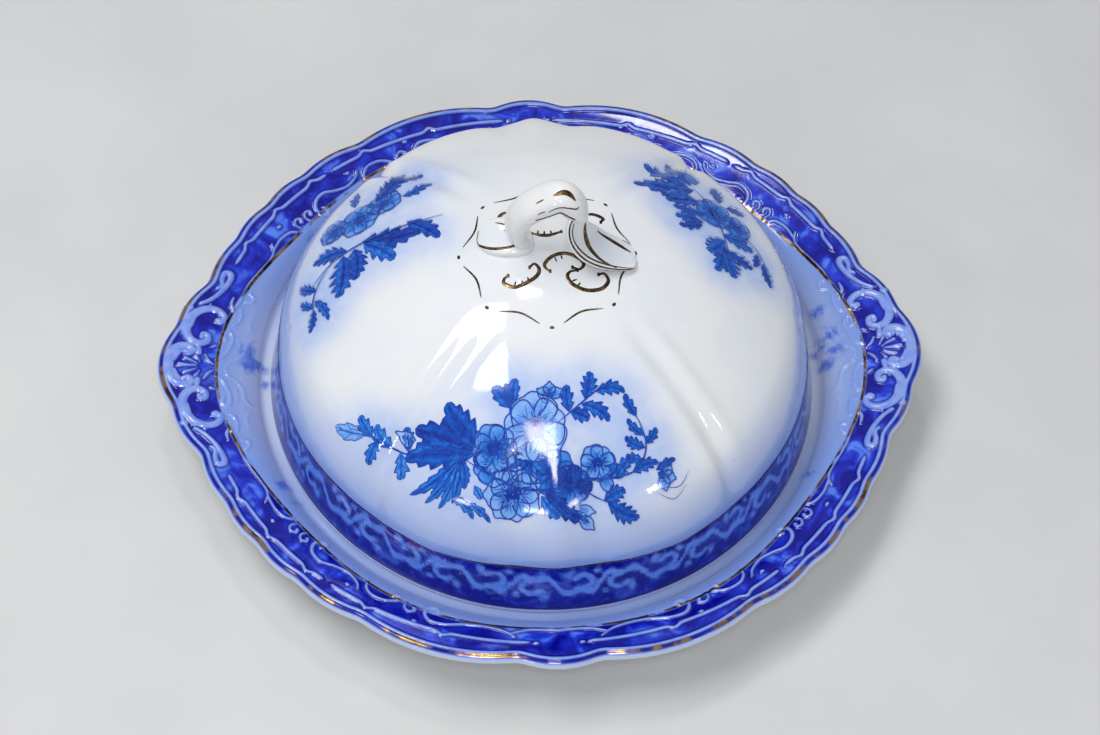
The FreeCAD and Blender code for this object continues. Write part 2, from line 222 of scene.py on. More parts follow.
def fan_faces(centre, ring, count):
    return [(centre, ring + i, ring + (i + 1) % count) for i in range(count)]


def capped_faces(rings, columns):
    """The faces of a closed skin: rings of one count, then a middle point for each end."""
    faces = []
    for k in range(rings - 1):
        faces += ring_faces(k * columns, (k + 1) * columns, columns)
    ends = rings * columns
    return faces + fan_faces(ends, 0, columns) + fan_faces(ends + 1, ends - columns, columns)


def grid_faces(rows, columns):
    """Quads of an open grid, row by row."""
    i = (np.arange(rows - 1)[:, None] * columns + np.arange(columns - 1)[None, :]).ravel()
    return np.column_stack([i, i + 1, i + columns + 1, i + columns])


def faces_towards(points, faces, up):
    """Four-cornered faces, each wound to look along up, which has one direction per point."""
    a, b, c, d = (points[faces[:, k]] for k in range(4))
    against = np.sum(np.cross(c - a, d - b) * up[faces[:, 0]], axis=1) < 0
    faces[against] = faces[against, ::-1]
    return faces


class Patches:
    """Gathers open grids of points into one mesh."""

    def __init__(self):
        self.points, self.faces, self.count = [], [], 0

    def add(self, points, columns, up):
        """A grid of points, row by row, and the direction that it looks in at each of them."""
        faces = faces_towards(points, grid_faces(len(points) // columns, columns), up)
        self.points.append(points)
        self.faces += (faces + self.count).tolist()
        self.count += len(points)

    def make(self, name, layers=None):
        return make_mesh(name, np.vstack(self.points), self.faces, layers)


# ---------------------------------------------------------------- the rim of the dish


def sharp_outline(angle):
    """The edge's radius at each angle as arcs between notches, mirrored in both axes."""
    folded = from_ear(angle)
    radius = np.zeros_like(folded)
    for (a0, r0), (a1, r1), swell in zip(NOTCHES, NOTCHES[1:], SWELLS):
        t = (folded - a0) / (a1 - a0)
        inside = (t >= 0) & (t <= 1)
        radius = np.where(inside, r0 + (r1 - r0) * t + swell * 4 * t * (1 - t), radius)
    return radius


def outline_radius(angle):
    """The scalloped edge's radius at each angle, its notches softened as the glaze fills them."""
    shifts = np.linspace(-2.4, 2.4, 9)
    weights = hump(shifts, 1.3) / hump(shifts, 1.3).sum()
    angle = np.asarray(angle, float)
    soft = sum(w * sharp_outline(angle + d) for w, d in zip(weights, shifts))
    return np.minimum(soft + 0.05, EAR_RADIUS)


def rim_height(radius):
    """The height of the rim's upper face, a shallow arch, and of the curved wall inside it."""
    t = (radius - RIM_INNER) / (RIM_OUTER - RIM_INNER)
    rim = RIM_LOW + (RIM_HIGH - RIM_LOW) * t + 4 * RIM_ARCH * t * (1 - t)
    depth = np.clip((RIM_INNER - radius) / (RIM_INNER - SEAT_RADIUS), 0, 1)
    wall = RIM_LOW - (RIM_LOW - COVER_SEAT) * (0.35 * depth + 0.65 * depth * depth)
    wall = np.where(depth > 0.999, COVER_SEAT, wall)
    return np.where(radius >= RIM_INNER, rim, wall)


def band_edge(angle):
    """The radius of the cobalt band's inner line, which swings out round the ears."""
    a = np.radians(angle)
    return 78.9 + 2.4 * np.cos(2 * a) + 1.6 * np.cos(4 * a) + 1.1 * np.cos(6 * a)


def inner_strokes():
    """The raised strokes of one quadrant as (points, half width, height), in X and Y."""
    strokes = []

    def add(points, half_width, height=0.5):
        widths = 1.12 * np.interp(np.linspace(0, 1, len(points)), [0, 0.5, 1], half_width)
        strokes.append((smooth_line(np.column_stack([points, widths])), height))

    def add_polar(points, half_width, height=0.5):
        add([polar(a, r) for a, r in points], half_width, height)

    # The ear's shell: a C with its back to the edge, mirrored in the X axis.
    add([(95.9, -1.2), (96.0, 1.2), (95.4, 3.6), (93.6, 5.6), (91.4, 5.9), (90.3, 4.9),
         (90.9, 3.8), (92.0, 4.2)], (1.25, 1.1, 0.7), 0.75)
    add([(94.6, 1.6), (93.9, 3.3), (92.9, 4.3)], (0.5, 0.6, 0.4), 0.5)
    # The fan inside it.
    add([(89.0, 0.0), (91.0, 0.0), (93.3, 0.1)], (0.2, 0.35, 0.6), 0.55)
    add([(88.8, 0.7), (90.1, 1.4), (91.9, 2.2)], (0.2, 0.32, 0.5), 0.5)
    add([(88.2, 1.3), (88.7, 2.2), (89.3, 3.1)], (0.2, 0.28, 0.42), 0.45)
    # The large C scroll beside it, with a curl at the shell end and a ball at the other.
    add([(88.0, 9.1), (87.6, 10.1), (86.5, 9.6), (86.6, 8.0), (88.5, 7.1), (90.7, 8.0),
         (92.0, 10.6), (91.4, 14.0), (89.3, 16.8), (86.6, 18.0), (84.2, 17.7), (82.6, 16.3),
         (82.5, 14.8), (83.5, 14.4)], (0.6, 1.15, 0.75), 0.75)
    add([(83.6, 14.3), (83.9, 14.5)], (0.95, 0.95, 0.95), 0.7)
    add([(86.4, 18.2), (86.0, 19.6)], (0.5, 0.4, 0.25), 0.45)
    add([(90.9, 12.2), (90.2, 14.4)], (0.5, 0.6, 0.5), 0.5)
    # The stem between the two, and the commas by the inner line.
    add([(89.0, 6.7), (88.6, 5.4), (88.6, 4.2)], (0.45, 0.6, 0.75), 0.6)
    add([(84.9, 0.9), (86.2, 2.1), (87.0, 3.7)], (0.25, 0.4, 0.3))
    add([(84.4, 6.8), (85.4, 6.2)], (0.35, 0.4, 0.3))
    # The hooked scroll where the ear runs into the rim.
    add([(88.6, 19.4), (86.0, 21.0), (83.2, 24.0), (81.3, 27.4), (81.2, 29.4), (82.6, 29.6),
         (83.3, 27.8), (83.4, 25.6), (84.5, 24.6)], (0.5, 0.8, 0.45), 0.65)
    add([(91.2, 18.0), (91.5, 17.8)], (0.8, 0.8, 0.8), 0.6)
    # Loops that hang from the inner line on to the wall.
    add([(84.2, 2.4), (82.3, 3.8), (80.9, 6.6), (80.2, 9.8), (81.0, 11.6), (82.2, 10.6),
         (82.0, 8.8)], (0.3, 0.4, 0.35), 0.4)
    add([(80.2, 13.8), (78.9, 14.8), (78.2, 16.8), (78.2, 19.2)], (0.3, 0.4, 0.2), 0.4)
    add([(80.0, 18.0), (80.8, 20.0), (80.3, 22.2)], (0.35, 0.45, 0.3))
    add([(77.0, 21.4), (75.6, 21.6), (75.1, 23.0), (76.0, 24.2)], (0.3, 0.35, 0.4), 0.4)
    # Faint squiggles embossed on the wall.
    add([(74.9, 10.2), (76.0, 9.4), (76.8, 7.6), (77.3, 5.6), (78.8, 3.4), (80.9, 2.0),
         (81.8, 0.2)], (0.3, 0.36, 0.3), 0.25)
    add([(78.8, 9.8), (78.6, 7.4), (79.3, 5.4)], (0.2, 0.3, 0.2), 0.2)
    add([(75.2, 12.6), (76.0, 14.6), (75.4, 17.0)], (0.2, 0.3, 0.2), 0.2)
    # Long shallow curves along the inner line, with kinks and small scrolls between them.
    add_polar([(13.4, 81.9), (16, 81.3), (19.5, 81.0), (23, 80.0), (26.4, 79.3), (28.4, 79.8),
               (29.6, 81.3)], (0.35, 0.42, 0.3))
    add_polar([(28.6, 79.9), (31.5, 80.2), (34, 79.4), (35.1, 77.9)], (0.3, 0.42, 0.35))
    add_polar([(36.2, 78.0), (36.0, 79.6), (36.8, 80.6), (37.7, 79.9), (37.4, 79.0)],
              (0.3, 0.36, 0.45))
    add_polar([(38.9, 77.6), (38.6, 79.1), (39.4, 80.2), (40.3, 79.6), (40.0, 78.7)],
              (0.3, 0.36, 0.45))
    add_polar([(42.9, 78.0), (43.6, 77.0), (42.7, 75.9), (41.6, 76.9), (41.7, 79.0),
               (43.0, 80.6), (45.2, 80.9), (47.4, 79.5), (50.0, 78.6), (52.6, 79.5),
               (53.6, 80.9)], (0.36, 0.46, 0.3))
    add_polar([(54.2, 77.2), (54.4, 79.0), (56.0, 80.4), (58.6, 80.2), (60.8, 78.4),
               (60.4, 77.0), (59.4, 77.6)], (0.3, 0.42, 0.36))
    add_polar([(62.6, 77.4), (62.2, 79.0), (63.2, 80.2), (64.3, 79.4), (63.9, 78.6)],
              (0.3, 0.36, 0.45))
    add_polar([(67.4, 77.8), (68.2, 76.9), (67.2, 76.2), (66.1, 77.2), (66.2, 79.2),
               (67.6, 80.7), (70.2, 80.4), (73.5, 78.9), (77, 78.3), (80.4, 78.9),
               (82.4, 80.4)], (0.36, 0.46, 0.3))
    add_polar([(81.8, 79.3), (84.4, 77.9), (87.2, 77.6), (90.5, 78.0)], (0.3, 0.42, 0.42))
    # Loose dots and small rings in the band.
    for angle, radius in ((33.5, 82.6), (51.6, 81.6), (65.0, 82.3), (86.0, 81.9)):
        add_polar([(angle, radius), (angle + 0.3, radius)], (0.42, 0.42, 0.42), 0.35)
    return strokes


# How far inside a stroke a point counts as where no stroke is near.
OUTSIDE = -9.0


def stroke_field(x, y, strokes):
    """How far each point is inside the nearest raised stroke, and how high it stands there."""
    x, y = np.abs(x), np.abs(y)
    inside = np.full(x.shape, OUTSIDE)
    height = np.zeros(x.shape)
    for line, rise in strokes:
        reach = line[:, 2].max() + 1.6
        near = ((x > line[:, 0].min() - reach) & (x < line[:, 0].max() + reach)
                & (y > line[:, 1].min() - reach) & (y < line[:, 1].max() + reach))
        if not near.any():
            continue
        px, py = x[near], y[near]
        best = np.full(px.shape, OUTSIDE)
        share = np.zeros(px.shape)
        for (ax, ay, aw), (bx, by, bw) in zip(line, line[1:]):
            dx, dy = bx - ax, by - ay
            t = np.clip(((px - ax) * dx + (py - ay) * dy) / (dx * dx + dy * dy + 1e-9), 0, 1)
            width = aw + (bw - aw) * t
            gap = width - np.hypot(px - ax - dx * t, py - ay - dy * t)
            share = np.where(gap > best, gap / width, share)
            best = np.maximum(best, gap)
        inside[near] = np.maximum(inside[near], best)
        height[near] = np.maximum(height[near], rise * step_up(share, -0.35, 0.9))
    return inside, height


def rim_lines(angle, radius):
    """The white lines that follow the scalloped edge: how far inside one, and its height."""
    folded = from_ear(angle)
    depth = outline_radius(angle) - radius
    lip = 0.75 - depth
    bead = 0.52 - np.abs(depth - 2.05)
    even = 91.0 - 4.8 * (folded - 17) / 67
    kink = sum(hump(folded - a, 0.9) for a in (27.0, 36.0, 45.0, 57.0, 70.5))
    gap = 0.5 - np.abs(even - 4.3 + 0.9 * kink - radius)
    shown = step_up(folded, 21, 23) * (1 - step_up(folded, 84, 87)) * (1 - hump(folded - 49, 0.7))
    second = gap - 1.2 * (1 - shown)
    inside = np.maximum(np.maximum(lip, bead), second)
    height = 0.5 * step_up(bead, -0.4, 0.35) + 0.4 * step_up(second, -0.4, 0.35)
    return inside, height


STROKES = inner_strokes()


def rim_relief(x, y):
    """The relief at points on the rim: how far inside a stroke they are, and their rise."""
    angle = np.degrees(np.arctan2(y, x))
    radius = np.hypot(x, y)
    inside, height = stroke_field(x, y, STROKES)
    line_inside, line_height = rim_lines(angle, radius)
    return np.maximum(inside, line_inside), np.maximum(height, line_height)


# ---------------------------------------------------------------- the dish

FINE = 1260
COARSE = FINE // 3


def column_angles(count):
    """Angles round the dish, closer together at the ears, where the relief is finest."""
    u = np.linspace(0, 2 * np.pi, count, endpoint=False)
    return np.degrees(u - 0.15 * np.sin(2 * u))


def dish_well():
    """The dish's inner face from the centre out, up to where the fine mesh starts."""
    floor = [(r, WELL_FLOOR) for r in (12, 26, 40, 48)]
    step = [(50.6, 6.25), (51.6, 6.6), (SUMP_RADIUS, 7.4), (SUMP_RADIUS, 9.0),
            (SUMP_RADIUS, 10.6), (52.3, 11.2)]
    ledge = [(r, LEDGE) for r in (53, 56, 59.8)]
    seat = [(r, COVER_SEAT) for r in (62.4, 66, 70, SEAT_RADIUS)]
    return floor + step + ledge + [(60.5, 11.6), (61.2, 12.15)] + seat + [(73.2, 12.55)]


def dish_underside():
    """The dish's lower face from under the rim in to the centre."""
    wall = arc_through((78.5, 13.8), (76.4, 9.9), (72.2, 7.8), 7)
    foot = [(64, 7.3), (58, 7.0), (53.5, 6.4), (52.2, 5.0), (52.0, 2.5), (51.9, 0.7),
            (51.2, 0.0), (47.9, 0.0), (47.1, 0.6), (47.0, 2.0)]
    recess = [(r, FOOT_RECESS) for r in (46, 36, 20, 8)]
    return np.vstack([wall[1:], foot, recess])


def dish_ring(angles, radius, height):
    a = np.radians(angles)
    radius = np.broadcast_to(radius, a.shape)
    return np.column_stack([radius * np.cos(a), radius * np.sin(a),
                            np.broadcast_to(height, a.shape)])


def fine_rim_rings():
    """The wall's upper part and the whole rim, round its lip and back underneath."""
    angles = column_angles(FINE)
    edge = outline_radius(angles)
    rings = [(angles, np.full(FINE, r)) for r in np.linspace(73.7, RIM_INNER, 12)]
    for t in np.linspace(0, 1, 46)[1:]:
        rings.append((angles, RIM_INNER + t * (edge - LIP - RIM_INNER)))
    upper = []
    for ring_angles, radius in rings:
        ring = dish_ring(ring_angles, radius, 0.0)
        rise = rim_relief(ring[:, 0], ring[:, 1])[1]
        ring[:, 2] = rim_height(radius) + rise
        upper.append(ring)
    top = upper[-1][:, 2]
    lip = []
    for a in np.linspace(90, -90, 8)[1:]:
        out = LIP * math.cos(math.radians(a))
        drop = 0.5 * (1 - math.sin(math.radians(a)))
        height = top - drop * (RIM_THICKNESS * 0.8)
        lip.append(dish_ring(angles, edge - LIP + out, height))
    return upper + lip


def lower_rim_rings():
    """The rim's underside, in the coarse columns, from the lip in to the wall."""
    angles = column_angles(COARSE)
    edge = outline_radius(angles) - LIP
    rings = []
    for t in np.linspace(1, 0, 7)[1:]:
        radius = RIM_INNER + t * (edge - RIM_INNER)
        rings.append(dish_ring(angles, radius, rim_height(radius) - RIM_THICKNESS))
    return rings


# The blurred sprigs printed on the sloping wall: x, y and radius.
WALL_SPRIGS = [(-76.5, 6.5, 2.6), (-73.5, 3.0, 2.2), (-77.0, 1.5, 1.8), (-72.0, -1.5, 1.6),
               (76.5, 7.5, 2.6), (73.0, 4.0, 2.2), (77.5, 2.0, 2.2), (74.5, -1.5, 2.0),
               (74.0, 15.0, 2.2), (-66.5, -33.5, 2.2), (-63.5, -38.0, 1.6), (66.0, -34.0, 1.8),
               (-60.0, 45.0, 2.2), (60.0, 45.0, 2.2)]


def dish_layers(points):
    """Per point: how far out from the band's inner line, how far in from the edge, how far
    inside a raised stroke, how near a wall sprig, and whether it is on the upper face."""
    x, y, z = points.T
    angle = np.degrees(np.arctan2(y, x))
    radius = np.hypot(x, y)
    inside = rim_relief(x, y)[0]
    surface = rim_height(np.maximum(radius, 1.0))
    sprig = sum(hump(np.hypot(x - sx, y - sy), size) for sx, sy, size in WALL_SPRIGS)
    return {"from_line": radius - band_edge(angle), "from_edge": outline_radius(angle) - radius,
            "sprig": np.clip(sprig, 0, 1), "stroke": np.where(radius > RELIEF_START, inside, OUTSIDE),
            "upper": np.where(radius > SEAT_RADIUS, z - surface + 1.6, 1.0)
            + np.where((radius <= SEAT_RADIUS) & (z < WELL_FLOOR - 0.05), -3.0, 0.0)}


def make_dish():
    coarse = column_angles(COARSE)
    well = [dish_ring(coarse, r, z) for r, z in dish_well()]
    fine = fine_rim_rings()
    lower = lower_rim_rings() + [dish_ring(coarse, r, z) for r, z in dish_underside()]
    rings = well + fine + lower
    starts = np.concatenate([[0], np.cumsum([len(r) for r in rings])])
    points = np.vstack(rings + [[(0, 0, WELL_FLOOR), (0, 0, FOOT_RECESS)]])
    faces = []
    for a, b, ring, other in zip(starts, starts[1:], rings, rings[1:]):
        if len(ring) == len(other):
            faces += ring_faces(a, b, len(ring))
        elif len(other) > len(ring):
            faces += ring_to_finer_faces(a, b, len(ring))
        else:
            faces += ring_to_finer_faces(b, a, len(other))
    faces += fan_faces(len(points) - 2, 0, COARSE)
    faces += fan_faces(len(points) - 1, int(starts[-2]), COARSE)
    dish = make_mesh("dish_ware", points, faces, dish_layers(points))
    face_outwards(dish)
    return dish


# ---------------------------------------------------------------- the cover


def cover_profile():
    """The cover's outer profile from apex to foot, as radius and height by distance along it."""
    centre = APEX - CROWN_RADIUS
    end = math.asin(SHOULDER_TOP[0] / CROWN_RADIUS)
    phi = np.linspace(0, end, 260)
    crown = np.column_stack([CROWN_RADIUS * np.sin(phi), centre + CROWN_RADIUS * np.cos(phi)])
    middle = ((SHOULDER_TOP[0] + SHOULDER_LOW[0]) / 2 + 0.57,
              (SHOULDER_TOP[1] + SHOULDER_LOW[1]) / 2 + 0.32)
    shoulder = arc_through(SHOULDER_TOP, middle, SHOULDER_LOW, 60)
    t = np.linspace(0, 1, 80)[:, None]
    skirt = np.array(SHOULDER_LOW) * (1 - t) + np.array([FOOT_RADIUS, COVER_SEAT + 0.5]) * t
    line = np.vstack([crown, shoulder[1:], skirt[1:]])
    along = np.concatenate([[0], np.cumsum(np.hypot(*np.diff(line, axis=0).T))])
    spacing, reach = 0.25, 24
    even = np.arange(0, along[-1], spacing)
    line = np.column_stack([np.interp(even, along, line[:, k]) for k in (0, 1)])
    weights = hump(np.arange(-reach, reach + 1) * spacing, 2.4)
    weights /= weights.sum()
    padded = np.vstack([2 * line[0] - line[reach:0:-1], line,
                        2 * line[-1] - line[-2:-2 - reach:-1]])
    soft = np.column_stack([np.convolve(padded[:, k], weights, "valid") for k in (0, 1)])
    soft[:, 0] = np.maximum(soft[:, 0], 0)
    return even, soft[:, 0], soft[:, 1]


ALONG, PROFILE_R, PROFILE_Z = cover_profile()
PROFILE_END = ALONG[-1]


def at_height(height):
    """How far along the cover's profile a height is reached."""
    return float(np.interp(-height, -PROFILE_Z, ALONG))


def cover_swell(angle, along):
    """How far the pressed lobes and ribs stand off the plain dome."""
    from_y = from_front(angle)
    from_rib = from_y - RIB_ANGLE
    radius = np.interp(along, ALONG, PROFILE_R)
    across = radius * np.radians(from_rib)
    rib_in = step_up(along, 22, 40) * (1 - step_up(along, 66, 76))
    ribs = 0.62 * (hump(across - 3.9, 2.3) + hump(across + 3.9, 2.3)) - 0.3 * hump(across, 1.8)
    shoulder = step_up(along, 46, 68) * (1 - step_up(along, 79, PROFILE_END - 2))
    lower = step_up(along, 46, 68) * (1 - 0.6 * step_up(along, 76, 84))
    lower *= 1 - step_up(along, PROFILE_END - 9, PROFILE_END - 1)
    lobes = 0.75 * np.sin(np.radians(np.clip((from_y - 9) / 31, 0, 1) * 180)) ** 0.8
    lobes += 0.55 * np.sin(np.radians(np.clip((from_y - 46) / 44, 0, 1) * 180)) ** 0.8
    cusp = 1.3 * hump(from_y, 4.2) - 0.45 * hump(from_y - 10, 3.2)
    notch = -1.0 * hump(from_rib, 3.4)
    return ribs * rib_in + lobes * shoulder + (cusp + notch) * lower


def cover_place(angle, along, lift=0.0):
    """Points on the cover's outer face, a little above it where lift isn't 0."""
    angle = np.asarray(angle, float)
    along = np.asarray(along, float)

    def bare(s):
        return np.interp(s, ALONG, PROFILE_R), np.interp(s, ALONG, PROFILE_Z)

    r0, z0 = bare(along - 0.4)
    r1, z1 = bare(along + 0.4)
    length = np.hypot(r1 - r0, z1 - z0)
    out_r, out_z = -(z1 - z0) / length, (r1 - r0) / length
    radius, height = bare(along)
    offset = cover_swell(angle, along) + lift
    radius = radius + out_r * offset
    a = np.radians(angle)
    return np.stack([radius * np.cos(a), radius * np.sin(a), height + out_z * offset], axis=-1)


def band_top(angle):
    """How far along the profile the cobalt band starts: it dips a little between the lobes."""
    from_y = from_front(angle)
    swing = 0.9 * hump(from_y - RIB_ANGLE, 5) - 0.6 * hump(from_y, 6) + 0.5 * hump(from_y - 27, 4)
    return at_height(BAND_TOP) + swing


def band_glow(angle, along):
    """Soft light scrolls in the cover's cobalt band: a running wave with a curl in each bend."""
    count = 20
    wave = 2 * math.pi * FOOT_RADIUS / count
    x = (angle * count / 360 % 1) * wave
    y = along - at_height(BAND_MIDDLE)
    bend = np.sin(2 * np.pi * x / wave) + 0.35 * np.sin(6 * np.pi * x / wave)
    glow = hump(y - 3.0 * bend, 1.3)
    for middle, turn in ((0.25 * wave, 1.0), (0.75 * wave, -1.0)):
        side, up = (x - middle) * turn, y * turn
        ring = np.hypot(side - 0.9, up + 0.9)
        bearing = np.degrees(np.arctan2(up + 0.9, side - 0.9))
        open_to = step_up(np.abs(turn_between(bearing, 150)), 25, 60)
        curl = hump(ring - 2.3, 0.85) * open_to
        tuft = hump(np.hypot(side + 2.6, (up + 3.9) * 0.7), 1.2)
        tip = hump(np.hypot(side - 4.4, up + 3.9), 1.1)
        glow = np.maximum.reduce([glow, curl, 0.9 * tuft, 0.9 * tip])
    return np.clip(glow, 0, 1)


def make_cover(sprays):
    angles = np.linspace(0, 360, COVER_COLUMNS, endpoint=False)
    outer = np.concatenate([[1.2, 3, 6, 10, 14, 18], np.linspace(22, PROFILE_END - 0.3, 84)])
    rings = [cover_place(angles, np.full(COVER_COLUMNS, s)) for s in outer]
    inner_steps = [(FOOT_RADIUS - 0.6, COVER_SEAT), (FOOT_RADIUS - WALL + 0.6, COVER_SEAT),
                   (FOOT_RADIUS - WALL, COVER_SEAT + 0.6), (65.2, 20.0), (62.8, 29.6),
                   (60.6, 34.0), (57.0, 39.4), (50.0, 45.8), (40.0, 52.3), (28.0, 57.1),
                   (14.0, 60.7), (4.0, 61.7)]
    rings += [dish_ring(angles, r, z) for r, z in inner_steps]
    points = np.vstack(rings + [[(0, 0, APEX), (0, 0, APEX - WALL)]])
    along = np.concatenate([np.repeat(outer, COVER_COLUMNS),
                            np.full(len(inner_steps) * COVER_COLUMNS, 0.0), [0, 0]])
    everywhere = np.concatenate([np.tile(angles, len(rings)), [0, 0]])
    inside = along == 0
    layers = {"band": np.where(inside, -40, along - band_top(everywhere)),
              "foot": np.where(inside, 40, PROFILE_END - along),
              "glow": np.where(inside, 0, band_glow(everywhere, along)),
              "haze": np.where(inside, 0, spray_haze(everywhere, along, sprays))}
    cover = make_mesh("cover_ware", points, capped_faces(len(rings), COVER_COLUMNS), layers)
    face_outwards(cover)
    return cover


def band_line():
    """The dark gold line round the top of the cover's band, as a thin raised film."""
    count = 720
    angles = np.linspace(0, 360, count, endpoint=False)
    top = band_top(angles)
    worn = 0.22 + 0.05 * np.sin(np.radians(angles * 7)) + 0.04 * np.sin(np.radians(angles * 17))
    rings = [cover_place(angles, top + k * worn, lift)
             for k, lift in ((-1, 0.05), (0, 0.11), (1, 0.05))]
    faces = ring_faces(0, count, count) + ring_faces(count, 2 * count, count)
    return make_mesh("band_line", np.vstack(rings), [f[::-1] for f in faces])


# ---------------------------------------------------------------- the printed sprays


# How high the print lies over the glaze, and how much higher each patch than the one before it.
FILL_LIFT = 0.05
LINE_LIFT = 0.11
PATCH_LIFT = 0.0004
DOME_MIDDLE = (0, 0, 20.0)
HAZE_REACH = 6.0


class Print(Patches):
    """The patches or the lines of the printed sprays, laid on the dome's outer face."""

    def __init__(self, lift):
        super().__init__()
        self.lift, self.tones = lift, []

    def add_grid(self, angle, along, tones):
        """A patch from a grid of places, with tones from 0 (pale) to 1 (dark)."""
        self.lift += PATCH_LIFT
        points = cover_place(angle.ravel(), along.ravel(), self.lift)
        self.add(points, angle.shape[1], points - DOME_MIDDLE)
        self.tones.append(np.broadcast_to(tones, angle.shape).ravel())

    def make(self, name):
        return super().make(name, {"tone": np.concatenate(self.tones)})


def to_dome(xy, centre):
    """From a flat drawing, with the crown's middle at its origin and the spray below it, to an
    angle and a distance along the profile."""
    x, y = xy[..., 0], xy[..., 1]
    return centre + np.degrees(np.arctan2(x, -y)), np.hypot(x, y)


class Spray:
    """Draws leaves, petals and stems of one spray into the shared fills and lines.

    flow says how much of its blue has run into the glaze round it, and out how far the
    drawing is moved away from the crown."""

    def __init__(self, centre, fills, lines, flow, out=0.0):
        self.centre, self.fills, self.lines = centre, fills, lines
        self.flow, self.out = flow, out
        self.marks = []

    def lay(self, layer, grid, tones):
        """Adds a flat grid of points to the fills or the lines."""
        layer.add_grid(*to_dome(grid - (0, self.out), self.centre), tones)

    def stroke(self, points, width, taper=True, steps=6):
        line, side, t = line_with_sides(points, steps)
        half = width / 2 * (np.clip(np.sin(np.pi * (0.08 + 0.84 * t)), 0.3, 1) if taper else 1)
        half = np.broadcast_to(half, t.shape)[:, None]
        grid = np.stack([line - side * half, line, line + side * half], axis=1)
        self.lay(self.lines, grid, 1.0)

    def leaf(self, base, tip, width, bend, teeth, tone, notch=0.34, veins=True):
        """A toothed leaf with a midrib and side veins."""
        base, tip = np.array(base, float), np.array(tip, float)
        ahead = tip - base
        side = np.array([-ahead[1], ahead[0]])
        t = np.linspace(0, 1, 10 * teeth + 1)
        rib = base + np.outer(t, ahead) + np.outer(4 * t * (1 - t) * bend, side)
        shape = np.sin(np.pi * t ** 0.8) ** 0.75
        place = t * teeth % 1.0
        lobe = np.where(place < 0.7, (place / 0.7) ** 0.8, ((1 - place) / 0.3) ** 1.2)
        half = 0.5 * width * shape * (1 - 1.5 * notch * (1 - lobe))
        across = side / np.linalg.norm(side)
        lean = ahead / np.linalg.norm(ahead) * 0.45
        rows = []
        for k in (-1, -0.5, 0, 0.5, 1):
            rows.append(rib + np.outer(half * k, across) + np.outer(half * abs(k), lean))
        grid = np.stack(rows, axis=1)
        self.lay(self.fills, grid, tone + 0.16 * np.array([0.7, -0.6, 1.0, -0.3, 0.7]))
        self.stroke(rib[::5], 0.26)
        for edge in (0, 4):
            self.stroke(grid[:, edge], 0.2, steps=1)
        if veins:
            for i in range(2, len(t) - 6, 10):
                for k, edge in ((1, 0), (3, 4)):
                    self.stroke([grid[i, 2], grid[i + 3, k], grid[i + 5, edge]], 0.15)
        self.marks += [(base + tip) / 2, base, tip]

    def petal(self, centre, direction, length, width, tone, depth=0.0):
        """One rounded petal; depth notches the middle of its outer edge."""
        centre = np.array(centre, float)
        a = math.radians(direction)
        ahead = np.array([math.cos(a), math.sin(a)])
        side = np.array([-ahead[1], ahead[0]])
        t = np.linspace(0.16, 1, 11)
        half = 0.5 * width * np.sqrt(np.clip(np.sin(np.pi * (t * 0.93 + 0.04) ** 1.25), 0, 1))
        rows = []
        for k in np.linspace(-1, 1, 7):
            reach = length * (t - 0.16 * k * k * t - depth * (1 - k * k) * t ** 4)
            rows.append(centre + np.outer(reach, ahead) + np.outer(half * k, side))
        grid = np.stack(rows, axis=1)
        self.lay(self.fills, grid, tone + 0.42 * (1 - t)[:, None] ** 1.5)
        rim = np.vstack([grid[:, 0], grid[-1, 1:-1], grid[::-1, 6]])
        self.stroke(rim, 0.3, taper=False)
        for k in (2, 3, 4):
            self.stroke(grid[0:8:3, k], 0.14)

    def flower(self, centre, radius, petals, turn, tone):
        """An open flower with rounded petals, a dark centre and a ring of stamens."""
        centre = np.array(centre, float)
        for k in range(petals):
            direction = turn + 360 * k / petals
            width = 2.25 * radius * math.sin(math.pi / petals)
            uneven = 1 + 0.07 * math.sin(2.1 * k + radius)
            self.petal(centre, direction, radius * uneven, width, tone, 0.06)
        self.disc(centre, radius * 0.3, 0.95)
        for k in range(12):
            a = math.radians(turn + 30 * k + 9)
            ray = np.array([math.cos(a), math.sin(a)])
            self.stroke([centre + ray * radius * 0.3, centre + ray * radius * 0.38,
                         centre + ray * radius * (0.46 + 0.05 * (k % 2))], 0.3)
        self.marks += [centre, centre + (radius * 0.6, 0), centre - (radius * 0.6, 0)]

    def disc(self, centre, radius, tone):
        a = np.radians(np.linspace(0, 360, 17))
        ring = np.array([0.05, 0.6, 1.0])[:, None, None] * radius
        wobble = 1 + 0.12 * np.sin(5 * a)
        grid = centre + ring * np.stack([np.cos(a) * wobble, np.sin(a) * wobble], axis=-1)[None]
        self.lay(self.fills, grid, tone)

    def bud(self, centre, radius, direction, tone=0.25):
        """A closed flower: an outlined round of petals with a dark cup at its stem."""
        for turn in (-62, 0, 62):
            self.petal(centre, direction + turn, radius * 1.5, radius * 1.25, tone)
        self.disc(np.array(centre, float), radius * 0.42, 0.9)
        self.marks.append(np.array(centre, float))


